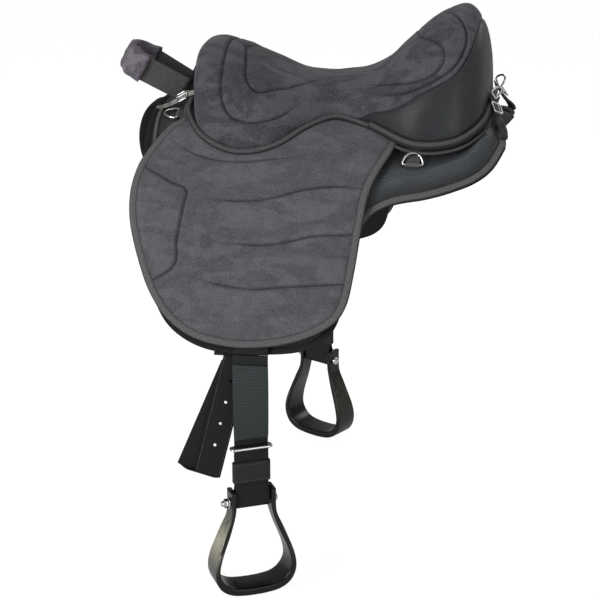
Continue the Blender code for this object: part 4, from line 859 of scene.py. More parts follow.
# painted shade: the pad's binding is coloured darker at its front and along its sides forward of the rear,
# where it lies in shade below the flaps
pad_binding = edging("pad_binding", inset(pad_edge, 0.0048), 0.0050, PAD_LOW, 0.0024,
                     mark=ramp((0.150 - pad_edge[:, 0]) / 0.03))
dressed(pad_binding, binding_cloth, "saddle", ["under_pad_binding"])
yoke = padded_panel("yoke_cloth", drawn(mirrored(YOKE_HALF), 0.005, closed=True), (0.08, 0), YOKE_LOW,
                    plain_top(YOKE_LOW + 0.003, 0.0032, 0.004), 30)
dressed(yoke, suede, "saddle", ["flap_yoke"])
ARCH_HALF = 0.0208
for name, x, reach in (("pommel_arch", -0.079, 0.145), ("cantle_arch", 0.231, 0.104)):
    front, rear = x - ARCH_HALF, x + ARCH_HALF
    outline = drawn([(front, -reach), (x, -reach), (rear, -reach), (rear, 0),
                     (rear, reach), (x, reach), (front, reach), (front, 0)], 0.004, closed=True)
    outline = np.stack([ramp(outline[:, 0], front, rear), ramp(outline[:, 1], -reach, reach)], -1)
    arch = padded_panel(name + "_felt", inset(outline, 0.0008), (x, 0), ARCH_LOW,
                        plain_top(ARCH_LOW + 0.0042, 0.0019, 0.003), 14)
    dressed(arch, felt, "saddle", [name])

for side_name, side in SIDES.items():
    welt = edging(side_name + "_front_welt", drawn(WELT_LINE, 0.004), 0.0030, PAD_TOP - 0.0012, 0.0017, side,
                  2.0, closed=False)
    dressed(welt, binding_cloth, "saddle")
for side_name, side in SIDES.items():
    over = ("saddle", side_name + "_flap", *(tuple(lay(0, side * s, YOKE_TOP)) for s in (0.155, 0.195)))
    flap = padded_panel(side_name + "_flap_cloth", flap_rim, (-0.010, 0.250), YOKE_LOW, flap_top, 110, side)
    dressed(flap, suede, None, [side_name + "_flap"], over)
    rim = edging(side_name + "_flap_edge", inset(flap_edge, 0.0056), 0.0058, YOKE_LOW, 0.0033, side, 2.6)
    dressed(rim, binding_cloth, None, [side_name + "_flap_binding"], over)
    rows = [row_on(inset(flap_edge, 0.0108), side, YOKE_LOW + 0.0062)]
    stitched(side_name + "_flap_stitches", rows, thread, None, 0.0034, 0.0024, 0.0008, over)
    rows = []
    for line in channel_lines + [knee_line]:
        x, s = line[::6].T
        height = flap_top(x, s, far_from(line[::6], edge_fine(flap_rim)))[0]
        rows.append(lay(x, side * s, height + STITCH_LIFT))
    stitched(side_name + "_channel_stitches", rows, dark_thread, None, 0.0032, 0.0024, 0.0006, over)
rows = [row_on(inset(pad_edge, 0.0112), 1, PAD_TOP - 0.0003)]
stitched("pad_stitches", rows, dark_thread, "saddle", 0.0036, 0.0026, 0.0007)


# ---------------------------------------------------------------- seat and cantle
def seat_at(place, share):
    """The bare form of the seat, from its station and the signed share of the way to the edge."""
    place, share = np.broadcast_arrays(np.asarray(place, float), np.asarray(share, float))
    x, z, foot_x, foot_s = np.moveaxis(spline(STATIONS, place), -1, 0)
    foot = lay(foot_x, np.maximum(foot_s, 0.0), SEAT_LOW + 0.003)
    turn = np.abs(share) * math.pi / 2
    inward = np.maximum(0.0, np.cos(turn)) ** SEAT_FULLNESS
    outward = np.sin(turn) ** SEAT_FULLNESS
    return np.stack([foot[..., 0] + (x - foot[..., 0]) * inward,
                     np.where(share < 0, -1, 1) * foot[..., 1] * outward,
                     foot[..., 2] + (z - foot[..., 2]) * inward], -1)


def under_seat(places):
    """The floor of the seat below each place."""
    y = places[..., 1]
    s = BACK_RADIUS * np.arcsin(np.clip(y / (BACK_RADIUS + SEAT_LOW), -0.98, 0.98))
    return lay(places[..., 0], np.sign(y) * np.minimum(np.abs(s), BEND_END), SEAT_LOW)


def on_both(*lines):
    """Measured seat lines in space, each on the near side and on the off side."""
    both = []
    for line in lines:
        fine = drawn(line, 0.004)
        near = drawn(seat_at(fine[:, 0], -fine[:, 1]), 0.0007)
        both += [near, near * np.array((1, -1, 1))]
    return both


deep_lines = on_both(POMMEL_OUTER, POMMEL_INNER, CANTLE_INNER[::-1], CANTLE_OUTER[::-1])
seam_lines = on_both(SEAM)
fold_lines = on_both(*WAIST_FOLDS)


def outward_of(places):
    """Directions away from the form at each place of a grid."""
    normal = np.cross(np.gradient(places, axis=0), np.gradient(places, axis=1))
    normal = normal / np.maximum(np.linalg.norm(normal, axis=-1, keepdims=True), 1e-12)
    flip = np.sign(np.sum(normal * (places - np.array((0.08, 0, -0.08))), -1, keepdims=True))
    return normal * np.where(flip == 0, 1, flip)


def covered(name, bare, uv, has_lines, step):
    """A closed cover over a grid of bare places: padded, sewn along lines, with walls and a coarser floor,
    and with marks of painted shade in its grooves, folds and seam.
    """
    x, y = bare[..., 0], bare[..., 1]
    deep, strong = felt_from(bare, deep_lines, 0.045) if has_lines else (np.ones(x.shape), 1.0)
    seam = far_from(bare, *seam_lines)
    fold = peak(far_from(bare, *fold_lines), SEAT_FOLD) if has_lines else np.zeros(x.shape)
    rim = ramp(np.linalg.norm(bare - under_seat(bare), axis=-1) / 0.012)
    crest = ramp((x - 0.20) / 0.03) * ramp(1 - np.abs(y) / 0.05)
    groove = peak(deep, SEAT_GROOVE) * (1 - 0.75 * crest) * strong
    puff = swelling(np.minimum(deep + 0.02 * (1 - strong), seam), 0.016)
    puff = puff * (1 + 0.9 * ramp((-0.01 - x) / 0.05) * ramp((x + 0.118) / 0.02))
    ridge = peak(deep - 0.0050, SEAT_RIDGE) * strong * (1 - crest)
    rise = SEAT_PUFF * puff + SEAT_RISE * ridge - GROOVE_DEPTH * groove
    rise += -FOLD_DEPTH * fold - SEAM_DEPTH * peak(seam, SEAT_SEAM)
    rise += SEAT_RISE * bump(x, y * 1.3, SEAT_SEED, 0.07)
    places = bare + outward_of(bare) * (rise * rim)[..., None]
    kept = list(range(0, x.shape[1], step))
    shell = Shell()
    # painted shade: the marks colour the cover darker in its sewn grooves, its folds and along its seam
    top = shell.grid(places, uv, ramp(0.9 * groove ** 3 + 0.12 * fold + 0.6 * peak(seam, 0.0014)))
    base = shell.grid(under_seat(bare[:, kept]), uv[:, kept])
    for i in range(len(top) - 1):
        for k in (0, -1):
            shell.join(top[i:i + 2, k], base[i:i + 2, k], uv[i:i + 2, k], uv[i:i + 2, k])
    for i in (0, -1):
        for k, (a, b) in enumerate(zip(kept, kept[1:])):
            shell.face([*top[i, a:b + 1], base[i, k + 1], base[i, k]], [*uv[i, a:b + 1], uv[i, b], uv[i, a]])
    return shell.made(name)


def surface_uv(bare):
    """Cloth coordinates of a grid from its own lengths."""
    down, across = (np.cumsum(np.linalg.norm(np.diff(bare, axis=axis), axis=-1), axis) for axis in (0, 1))
    u, v = np.pad(down, ((1, 0), (0, 0))), np.pad(across, ((0, 0), (1, 0)))
    middle = bare.shape[1] // 2
    return np.stack([u[:, middle:middle + 1] + 0 * u, v - v[:, middle:middle + 1]], -1)


seam_fine = drawn(SEAM, 0.01)
seat_rows = np.concatenate([np.linspace(0, 14.9, 200),
                            14.9 + 0.95 * (1 - (1 - np.linspace(0, 1, 30)[1:]) ** 1.6)])
seam_share = np.where(seat_rows < SEAM[0][0], 1.0, np.interp(seat_rows, seam_fine[:, 0], seam_fine[:, 1]))
bare_seat = seat_at(seat_rows[:, None], np.maximum(seam_share, 0.02)[:, None] * np.linspace(-1, 1, 193)[None])
seat = covered("seat_cover", bare_seat, surface_uv(bare_seat), True, 12)
dressed(seat, shaded_seat_suede, "saddle", ["seat_cushion"])


def spaced(path, count):
    """A path of (station, share) re-read at even distances over the seat."""
    fine = read_at(np.linspace(0, len(path) - 1, 900), np.arange(len(path)), path)
    along = lengths(seat_at(fine[:, 0], fine[:, 1]))
    return read_at(np.linspace(0, along[-1], count), along, fine)


rim_path = [(p, 1.0) for p in np.linspace(SEAM[0][0], 19, 60)] + [(19, 0.5), (19, 0.0)]
upper, lower = spaced(seam_fine, 141), spaced(rim_path, 141)
shares = np.linspace(0, 1, 41)[:, None, None]
half_grid = upper[None] * (1 - shares) + lower[None] * shares
near_half = seat_at(half_grid[..., 0], -half_grid[..., 1])
bare_cantle = np.concatenate([near_half, (near_half[:, ::-1] * np.array((1, -1, 1)))[:, 1:]], 1)
cantle = covered("cantle_cover", bare_cantle, surface_uv(bare_cantle)[..., ::-1], False, 7)
dressed(cantle, mesh_cloth, "saddle", ["cantle_bolster"])

for name, middle, end, half_b, tape_low, node in (
        ("seat_piping", 0.0, 10.4, 0.0040, YOKE_TOP - 0.0006, "seat_piping"),
        ("cantle_edge", 19.0, 10.42, 0.0064, PAD_TOP + 0.0100, "cantle_binding")):
    half_line = np.maximum(spline(STATIONS, np.linspace(middle, end, 120))[:, 2:], (-1.0, 0.0))
    ahead_of_seat = 0.0085 * ramp((0.112 - half_line[:, 1]) / 0.03)
    half_line[:, 0] -= ahead_of_seat * (half_line[:, 0] < -0.09)
    line = drawn(np.vstack([half_line[::-1] * np.array((1, -1)), half_line])[::3], 0.0035)
    out = -left_of(heading(line))
    if np.sum(out * (line - np.array((0.08, 0.0)))) < 0:
        out = -out
    pipe = edging(name, line + out * 0.0046, 0.0043, SEAT_LOW - 0.0004, half_b, closed=False, power=2.1)
    dressed(pipe, piping_cloth, "saddle", [node])
    tape = edging(name + "_tape", line + out * 0.0098, 0.0030, tape_low, 0.0012, closed=False, power=2.2)
    dressed(tape, piping_cloth, "saddle")


def pressed(lines, piece, lift=STITCH_LIFT):
    """Lines brought onto a piece's surface."""
    done = []
    for line in lines:
        moved = []
        for place in line:
            found, spot, normal, _ = piece.closest_point_on_mesh(Vector(place))
            moved.append(np.array(spot) + np.array(normal) * lift if found else place)
        done.append(np.array(moved))
    return done


rows = pressed([line[::6] for line in deep_lines], seat)
stitched("seat_stitches", rows, dark_thread, "saddle", 0.0034, 0.0025, 0.0006)
rows = []
for shift, piece in ((-0.0032, seat), (0.0032, cantle)):
    for line in seam_lines:
        sideways = np.cross(heading(line), unit(line - np.array((0.12, 0, -0.02))))
        rows += pressed([(line + sideways * shift)[::6]], piece)
stitched("seam_stitches", rows, thread, "saddle", 0.0034, 0.0024, 0.0007)

# the black gusset that fills the pommel's front, down to the under pad and between the handle's strands
GUSSET_FROM, GUSSET_REACH, GUSSET_HALF, GUSSET_TOP, GUSSET_LOW = -0.108, 0.040, 0.073, 0.080, 0.010
around = np.linspace(-1, 1, 41) * math.pi / 2
rings = []
for share in np.sin(np.linspace(0, math.pi / 2, 22)[:-1]):
    size = (1 - share ** 2.3) ** (1 / 2.3)
    ahead_x = GUSSET_FROM - GUSSET_REACH * share
    between_strands = 0.018 + 4.2 * max(0.0, ahead_x + 0.133)
    y = ((GUSSET_HALF * size) ** -4 + between_strands ** -4) ** -0.25 * np.sin(around)
    floor = lay(0, BACK_RADIUS * np.arcsin(y / (BACK_RADIUS + PAD_TOP)), PAD_TOP + 0.0004)[:, 2]
    height = (GUSSET_LOW + (GUSSET_TOP - GUSSET_LOW) * size - floor[20]) * np.cos(around) ** 0.8
    x = np.full(41, ahead_x)
    rings.append(np.vstack([np.stack([x, y, floor + height], -1), np.stack([x, y, floor], -1)[-4:3:-4]]))
uv = cloth(np.arange(len(rings)) * 0.003, np.arange(len(rings[0]) + 1) * 0.003)
gusset = solid("pommel_gusset", rings, uv)
dressed(gusset, lining_cloth, "saddle")

# ---------------------------------------------------------------- grab handle
HANDLE_X, HANDLE_HALF, HANDLE_ROOT, HANDLE_RUN, HANDLE_RISE = -0.160, 0.032, 0.022, 0.070, math.radians(28)
HANDLE_WIDTH, HANDLE_THICK = 0.038, 0.0026
ahead = np.array((-math.cos(HANDLE_RISE), 0, math.sin(HANDLE_RISE)))
upright = np.array((math.sin(HANDLE_RISE), 0, math.cos(HANDLE_RISE)))
reach = BACK_RADIUS + PAD_TOP
root = np.array((HANDLE_X, 0, reach * math.cos(math.asin(HANDLE_ROOT / reach)) - BACK_RADIUS + 0.0003))
middle = root + upright * HANDLE_WIDTH / 2
near_root, off_root = (middle + np.array((0, side * HANDLE_ROOT, 0)) for side in (-1, 1))
bend = np.array([middle + ahead * (HANDLE_RUN + HANDLE_HALF * math.sin(t))
                 + np.array((0, -math.cos(t) * HANDLE_HALF, 0)) for t in np.linspace(0, math.pi, 33)])
straight = np.linspace(0, 1, 18)[:-1, None]
near_run = near_root * (1 - straight) + bend[0] * straight
off_run = (bend[-1] * (1 - straight) + off_root * straight)[1:]
loop = np.vstack([near_run, bend, off_run, [off_root]])
outward = loop - (middle + ahead * (HANDLE_RUN * 0.5))
outward -= np.outer(outward @ upright, upright)
face = np.cross(heading(loop), upright)
face *= np.sign(np.sum(face * outward, 1))[:, None]
strap = swept("handle_loop", loop, np.broadcast_to(upright, loop.shape), face,
              band(HANDLE_WIDTH, HANDLE_THICK))
dressed(strap, handle_cloth, "handle", ["handle_strap"])


def sleeve(name, path, across, face, section, wall=0.0018, soft=0.07):
    """A soft sleeve open at both ends, where it stands off a little."""
    run = np.linspace(0, 0.1, len(path))
    ripple = 1 + soft * np.stack([bump(run, np.zeros(len(path)), SLEEVE_SEED + k, 0.03) for k in (0, 1)], -1)
    open_end = peak(np.minimum(run, 0.1 - run), 0.009)[:, None]
    creases = 0.0007 * bump(run[:, None] * 1.6, section[None, :, 0] * 1.4, SLEEVE_SEED + 5, 0.016)
    uv = cloth(np.arange(len(path)) * 0.003, np.arange(len(section) + 1) * 0.004)
    shell = Shell()
    walls = []
    for size in (1 + wall / np.abs(section).max(0), np.ones(2)):
        a = section[None, :, 0] * size[0] * ripple[:, :1] * (1 + 0.05 * open_end)
        b = section[None, :, 1] * size[1] * ripple[:, 1:] * (1 + 0.7 * open_end) + creases
        places = path[:, None] + across * a[..., None] + face[:, None] * b[..., None]
        walls.append(shell.grid(places, uv, wrap=True))
    for row in (0, -1):
        shell.join(walls[0][row], walls[1][row], uv[row], uv[row], wrap=True)
    return shell.made(name)


part = slice(16, len(loop) - 16)
wrap = sleeve("handle_sleeve", loop[part], upright, face[part],
              oval(HANDLE_WIDTH / 2 + 0.0014, HANDLE_THICK / 2 + 0.0024, 3.0, 40))
dressed(wrap, wrap_suede, "handle", ["handle_wrap"])
rows = []
for edge_side in (-1, 1):
    for run, side in ((near_run[:12], -1), (off_run[5:], 1)):
        rows.append(run + upright * edge_side * (HANDLE_WIDTH / 2 - 0.004)
                    + np.array((0, side, 0)) * (HANDLE_THICK / 2 + STITCH_LIFT))
stitched("handle_stitches", rows, thread, "handle", 0.0036, 0.0027, 0.0007)

# ---------------------------------------------------------------- stirrup hanging
STRAP_X, STRAP_WIDTH, STRAP, WEB = 0.002, 0.050, 0.0026, 0.0014
RING_UPPER, RING_BAR, RING_OPENING = 0.257, 0.009, 0.021
STRAP_LAYER, FALL_START, FALL_END = 0.0139, 0.4372, -0.4203
TAIL_TOP, TAIL_HEM = -0.300, -0.410
TWIST = math.radians(29)
BOLT_Z, SLIDE_BUCKLE_Z, KEEPER_Z = -0.505, -0.4235, -0.460
LOOP_HALF, LOOP_ROUND, LOOP_THICK = 0.0028, 0.0096, 0.0023
KEEPER_HEIGHT, KEEPER_THICK = 0.0308, 0.0021
STIRRUP_DEPTH, TREAD_EXTRA, RIM_RISE = 0.027, 0.017, 0.0011
EYE_SPREAD, EYE_RADIUS = 0.0295, 0.00435
STIRRUP_OUTER = mm((33, 18), (33, -8.5), (35.2, -22), (42.5, -39), (50.5, -60), (57.5, -80), (60.8, -99),
                   (58.5, -115), (50, -128.5), (35, -137), (16, -140), (0, -140.5))
STIRRUP_INNER = mm((26, 18), (26, -7), (29, -23), (36, -44), (44, -63), (50.5, -81), (53.5, -97), (51, -109),
                   (43, -120), (31, -126.5), (15, -129), (0, -129.5))
# The bolt, its nut and its head from their faces outwards: (distance, radius, share of a hexagon)
THREADED_END = [(-0.0120, 0.0012, 0), (-0.0118, 0.0034, 0)]
for k in range(7):
    THREADED_END += [(-0.0115 + 0.0005 * k, 0.0039, 0), (-0.01125 + 0.0005 * k, 0.0035, 0)]
THREADED_END += [(-0.0078, 0.0039, 0), (-0.0078, 0.0062, 1), (-0.0072, 0.0068, 1), (-0.0021, 0.0068, 1),
                 (-0.0016, 0.0063, 1), (-0.0015, 0.0080, 0), (-0.0012, 0.0082, 0), (0, 0.0082, 0),
                 (0, 0.0040, 0)]
BOLT_HEAD = [(0, 0.0040, 0), (0, 0.0068, 0), (0.0012, 0.0069, 0), (0.0026, 0.0063, 0), (0.0040, 0.0050, 0),
             (0.0048, 0.0032, 0), (0.0051, 0.0008, 0)]
BOLT_SEAT = 0.0333
BOLT_PROFILE = [(distance + shift, radius, six)
                for shift, part in ((-BOLT_SEAT, THREADED_END), (BOLT_SEAT, BOLT_HEAD))
                for distance, radius, six in part]


def across_and_out(side, turn):
    across = np.array((math.cos(turn), -side * math.sin(turn), 0))
    return across, np.array((math.sin(turn), side * math.cos(turn), 0))


def placed(centre, flat, across, up):
    """A flat line set up in space."""
    return centre + flat[:, :1] * across + flat[:, 1:] * up


def flat_strap(name, line, width, thick, material, body, nodes=(), side=1, x=STRAP_X):
    """A webbing strap whose centre line is (s, h) over the saddle at one x."""
    line = drawn(line, 0.003)
    piece = ribbon(name, lay(x, side * line[:, 0], line[:, 1]), LENGTHWISE, band(width, thick))
    dressed(piece, material, body, nodes)


low = ARCH_LOW + 0.0008
flat_strap("stirrup_web", [(s, low) for s in np.linspace(-0.236, 0.236, 40)], STRAP_WIDTH, WEB, strap_cloth,
           "saddle")
for side_name, side in SIDES.items():
    across, out = across_and_out(side, TWIST)

    # the web folds round the ring's upper bar, the strap round its lower bar
    high = ARCH_LOW + 0.0015 + 0.0022 + 0.0006 + 0.0008
    middle = RING_UPPER + RING_BAR / 2
    fold = [(0.2335, low), (0.250, low), (middle + 0.0045, low), (middle + 0.0062, (low + high) / 2),
            (middle + 0.0045, high), (0.250, high), (0.2375, high - 0.0002)]
    flat_strap(side_name + "_web_fold", fold, STRAP_WIDTH, 0.0013, strap_cloth, "saddle",
               ["stirrup_webbing"] if side_name == "near" else (), side)
    bar = RING_UPPER + RING_BAR * 1.5 + RING_OPENING
    start, joined = bar - 0.0140, bar + 0.0132
    level = STRAP_LAYER + STRAP / 2
    upper_line = [(joined + 0.012, low + 0.0012), (joined, low), (start + 0.002, low),
                  (start, (low + high) / 2), (start + 0.002, high), (joined, high), (joined + 0.012, level)]
    upper_line += [(s, level) for s in np.linspace(joined + 0.022, FALL_START - STRAP / 2 - 0.0003, 12)]
    strap_body = side_name + "_strap"
    flat_strap(strap_body + "_upper", upper_line, STRAP_WIDTH, WEB, strap_cloth, strap_body, (), side)
    ply = [(s, level + 0.0001) for s in np.linspace(joined + 0.010, FALL_START - STRAP / 2 - 0.0004, 10)]
    flat_strap(strap_body + "_ply", ply, STRAP_WIDTH - 0.0004, STRAP, strap_cloth, strap_body,
               [side_name + "_stirrup_strap"], side)

    # the fall, its sewn tail and their hems
    turn_top = lay(STRAP_X, side * FALL_START, level)
    fall_y = turn_top[1]

    def twisted(zs):
        turns = TWIST * ramp((TAIL_TOP - zs) / (TAIL_TOP - TAIL_HEM))
        wide, facing = (np.array(v) for v in zip(*(across_and_out(side, t) for t in turns)))
        return np.stack([np.full(len(zs), STRAP_X), np.full(len(zs), fall_y), zs], -1), wide, facing

    fall_body = side_name + "_fall"
    levels = np.concatenate([[turn_top[2] + 0.0010], np.linspace(turn_top[2] - 0.001, FALL_END, 46)])
    fall = swept(fall_body + "_web", *twisted(levels), band(STRAP_WIDTH, STRAP))
    dressed(fall, strap_cloth, fall_body, [side_name + "_strap_fall"])
    path, wide, facing = twisted(np.linspace(TAIL_TOP, TAIL_HEM, 40))
    path = path + facing * (STRAP / 2 + 0.0012)
    swell = np.ones((40, 2))
    swell[[0, -1]] = (0.985, 0.55)
    swell[[1, 2]] = (1.0, 1.15)
    tail = swept(side_name + "_tail", path, wide, facing, band(STRAP_WIDTH - 0.0004, 0.0021), swell=swell)
    dressed(tail, tail_cloth, fall_body)
    rows = [path[3:-3] + wide[3:-3] * place + facing[3:-3] * 0.0011 for place in (-0.0215, 0.0215)]
    for k in (2, 36):
        rows.append(np.array([path[k] + wide[k] * a + facing[k] * 0.0013
                              for a in np.linspace(-0.0215, 0.0215, 12)]))
    stitched(side_name + "_tail_stitches", rows, dark_thread, fall_body, 0.0032, 0.0024, 0.0006)

    # the foot loop folds round the bolt's sleeve
    foot = side_name + "_foot"
    base = np.array((STRAP_X, fall_y, BOLT_Z))
    face_out, round_out = LOOP_HALF - LOOP_THICK / 2, LOOP_ROUND - LOOP_THICK / 2
    flank = [(face_out, FALL_END - 0.0006 - BOLT_Z), (face_out, 0.055), (face_out, 0.029), (0.0046, 0.018),
             (0.0077, 0.0075)]
    arc = [(round_out * math.cos(math.radians(a)), round_out * math.sin(math.radians(a)))
           for a in range(12, -193, -12)]
    outline = drawn(flank + arc + [(-a, b) for a, b in reversed(flank)], 0.002)
    foot_loop = ribbon(side_name + "_foot_loop", placed(base, outline, out, UP), across,
                       band(STRAP_WIDTH, LOOP_THICK))
    dressed(foot_loop, strap_cloth, foot, [side_name + "_strap_loop"])
    rows = [np.array([base + UP * level + out * way * away + across * a
                      for a in np.linspace(-0.022, 0.022, 12)])
            for level, away in ((0.0225, 0.0052), (0.0265, 0.0041)) for way in (-1, 1)]
    rows = pressed(rows, foot_loop, 0.0002)
    stitched(side_name + "_loop_stitches", rows, dark_thread, foot, 0.0034, 0.0026, 0.0007)

    frame_line = rounded_loop(STRAP_WIDTH / 2 + 0.0039, LOOP_HALF + 0.0027, 0.0030, 6)
    path = placed(np.array((STRAP_X, fall_y, SLIDE_BUCKLE_Z)), frame_line, across, out)
    buckle = swept(side_name + "_slide", path, *directions(path, UP, True), oval(0.0021, 0.0021, 2, 14), True)
    dressed(buckle, steel, foot, [side_name + "_slide_buckle"])

    ring = rounded_loop(STRAP_WIDTH / 2 + GAP + 0.0011, LOOP_HALF + GAP + 0.0011, 0.0016, 5)
    path = placed(np.array((STRAP_X, fall_y, KEEPER_Z)), ring, across, out)
    upward = np.broadcast_to(UP, path.shape)
    keeper_face = np.cross(heading(path, True), upward)
    keeper = swept(side_name + "_keeper_web", path, upward, keeper_face, band(KEEPER_HEIGHT, KEEPER_THICK),
                   True)
    dressed(keeper, keeper_cloth, side_name + "_keeper", [side_name + "_keeper"])
    rows = [np.array((STRAP_X, fall_y, level)) + np.linspace(-0.024, 0.024, 14)[:, None] * across
            + out * (LOOP_HALF + GAP + 0.0022) for level in (KEEPER_Z - 0.0125, KEEPER_Z + 0.0125)]
    rows = pressed(rows, keeper, 0.0002)
    stitched(side_name + "_keeper_stitches", rows, thread, side_name + "_keeper", 0.0034, 0.0026, 0.0006)

    bolt = turned(side_name + "_bolt", base, across, BOLT_PROFILE)
    dressed(bolt, steel, foot, [side_name + "_stirrup_bolt"])

    # the stirrup: one thick band, wider at the tread, with raised rims
    half_rows = []
    for half in (STIRRUP_OUTER, STIRRUP_INNER):
        half = drawn(half, 0.0035)
        half = read_at(np.linspace(0, len(half) - 1, 96), np.arange(len(half)), half)
        half_rows.append(np.vstack([half, half[:-1][::-1] * np.array((-1, 1))]))
    outer, inner = half_rows
    flare = ramp((-0.010 - (outer[:, 1] + inner[:, 1]) / 2) / 0.090)
    depths = STIRRUP_DEPTH + TREAD_EXTRA * (flare * flare * (3 - 2 * flare))
    rings, marks = [], []
    for a, b, depth in zip(outer, inner, depths):
        half = np.linalg.norm((a - b) / 2)
        middle, unit_out = (a + b) / 2, (a - b) / 2 / half
        section = rounded_loop(half, depth / 2, min(0.0024, half * 0.6), 4)
        depth_share = np.abs(section[:, 1]) / (depth / 2)
        dip = RIM_RISE * (1 - ramp(depth_share / 0.86) ** 6) * ramp(np.abs(section[:, 0]) / half) ** 4
        reach_out = section[:, 0] - np.sign(section[:, 0]) * dip
        rings.append(placed(base, middle + unit_out * reach_out[:, None], across, UP) + section[:, 1:] * out)
        # paler streaks on the stirrup's outer faces: partly rub wear, partly painted sheen, strongest on one
        # leg of the near stirrup and half as strong on the off stirrup
        wear_and_sheen = math.exp(-((middle[1] + 0.054) / 0.027) ** 2) * (0.95 if middle[0] < 0 else 0.25)
        marks.append(wear_and_sheen * (0.5 if side > 0 else 1.0) * (section[:, 0] > 0.6 * half))
    stirrup = solid(side_name + "_stirrup_body", rings, marks=np.array(marks))
    punched(stirrup, [base + across * EYE_SPREAD, base - across * EYE_SPREAD], EYE_RADIUS, across, 0.020)
    dressed(stirrup, plastic, side_name + "_stirrup", [side_name + "_stirrup"])

# ---------------------------------------------------------------- girth billets
BILLET_WIDTH, BILLET_THICK, BILLET_TILT = 0.038, 0.0024, math.radians(14)
BILLET_LENGTH, BILLET_SHIFT, BILLET_FOLD, BILLET_HOLE = 0.186, 0.028, 0.0032, 0.0022
HOLE_START, HOLE_PITCH = 0.037, 0.034
BILLET_FIRST, BILLET_LAST, BILLET_UPPER, BILLET_LOWER = -0.052, 0.012, 0.396, 0.4375
for side_name, side in SIDES.items():
    half = BILLET_THICK / 2
    level = LINING_TOP - BILLET_THICK - GAP + half
    flat_strap(side_name + "_billet_sewn", [(s, level) for s in np.linspace(BILLET_UPPER, BILLET_LOWER, 8)],
               BILLET_LAST - BILLET_FIRST, BILLET_THICK, strap_cloth, "saddle", [side_name + "_billet_root"],
               side, (BILLET_FIRST + BILLET_LAST) / 2)
    slope, _ = slope_at(side * BILLET_LOWER)
    top = lay(-0.019, side * BILLET_LOWER, level) + slope * (half + GAP)
    down = np.array((-math.sin(BILLET_TILT), 0, -math.cos(BILLET_TILT)))
    wide = np.array((math.cos(BILLET_TILT), 0, -math.sin(BILLET_TILT)))
    inwards = np.array((0, -side, 0))
    # the front ply goes down, turns and comes back up behind itself
    path = [top + down * distance for distance in np.linspace(0, BILLET_LENGTH, 40)]
    faces_out = [-inwards] * 40
    foot = top + down * BILLET_LENGTH
    for k in range(1, 16):
        turn = math.pi * k / 16
        path.append(foot + inwards * (BILLET_FOLD - BILLET_FOLD * math.cos(turn))
                    + down * BILLET_FOLD * math.sin(turn) - wide * BILLET_SHIFT * k / 16)
        faces_out.append(-inwards * math.cos(turn) + down * math.sin(turn))
    for share in np.linspace(1.0, 0.07, 36):
        path.append(top + down * (BILLET_LENGTH * share) + inwards * 2 * BILLET_FOLD
                    - wide * (BILLET_SHIFT * share))
        faces_out.append(inwards)
    path = np.array(path)
    billet = swept(side_name + "_billet_web", path, np.broadcast_to(wide, path.shape), np.array(faces_out),
                   band(BILLET_WIDTH, BILLET_THICK))
    spots = [top + down * (HOLE_START + HOLE_PITCH * k) for k in range(4)]
    punched(billet, spots[:1], BILLET_HOLE, inwards, 0.0040)
    slant = np.array((-0.165, 0.0, -0.317)) + inwards * 0.934
    punched(billet, [spot + slant * BILLET_FOLD for spot in spots[1:]], BILLET_HOLE, slant, 0.0130)
    dressed(billet, billet_cloth, side_name + "_billet", [side_name + "_billet"])
    rows = []
    for place in (-0.0165, 0.0165):
        for part, way in ((slice(1, 39), -1), (slice(56, -1), 1)):
            rows.append(path[part] + wide * place + inwards * way * (half + STITCH_LIFT))
    stitched(side_name + "_billet_stitches", rows, thread, side_name + "_billet", 0.0036, 0.0024, 0.0009)

# ---------------------------------------------------------------- dees, tabs, laces and buckles
WIRE, TAB_WEB, TAB_PLY, LACE_HALF = 0.0018, 0.0014, 0.00075, 0.0011
FRONT_RING_X, FRONT_RING_S, SIDE_RING_S = -0.1475, 0.072, 0.156
FRONT_RING, SIDE_RING, REAR_RING = (0.026, 0.021, WIRE), (0.029, 0.017, WIRE), (0.020, 0.016, WIRE * 0.85)
FRONT_TAB, SIDE_TAB, SIDE_RING_LEAN = 0.020, 0.0194, math.radians(25)


def ringed(name, centre, along, way, size, dee):
    """A dee: a straight bar with rounded corners and an arc, of round wire."""
    width, reach, radius = size
    points = [centre + along * a for a in np.linspace(-width * 0.42, width * 0.42, 5)]
    points += [centre + along * (width / 2 * math.cos(t)) + way * (reach * math.sin(t))
               for t in np.linspace(math.radians(9), math.radians(171), 15)]
    line = drawn(points, 0.0016, closed=True)
    normal = unit(np.cross(line[len(line) // 3] - line[0], line[2 * len(line) // 3] - line[0]))
    piece = swept(name, line, *directions(line, normal, True), oval(radius, radius, 2, 12), True)
    dressed(piece, steel, dee, [dee])


def tab_line(bar, tail_end, way):
    """The middle of a tab's webbing, from its tail round the dee's bar and back, and the bar's height."""
    outer = WIRE + GAP + TAB_PLY
    height = ARCH_LOW + outer + 0.0005
    points = [(tail_end, ARCH_LOW + 0.0005), ((tail_end + bar) / 2, ARCH_LOW + 0.0005)]
    points += [(bar - way * outer * math.sin(math.radians(a)), height - outer * math.cos(math.radians(a)))
               for a in range(0, 181, 22)]
    points += [(bar + way * 0.0035, ARCH_LOW + 0.0040), (bar + way * 0.008, ARCH_LOW + 0.0025),
               (bar + way * 0.014, ARCH_LOW + 0.00235), (tail_end - way * 0.004, ARCH_LOW + 0.00235)]
    return drawn(points, 0.0012), height


def tabbed(name, path, across, width):
    """A tab's webbing, its face towards the back."""
    tab = ribbon(name + "_web", path, across, band(width, TAB_WEB) * (1, -1))
    dressed(tab, binding_cloth, "saddle", [name])


def rear_hint(side, share):
    return unit(LENGTHWISE * (1 - share) * 1.2 + slope_at(side * 0.09)[1] * (0.4 + share))


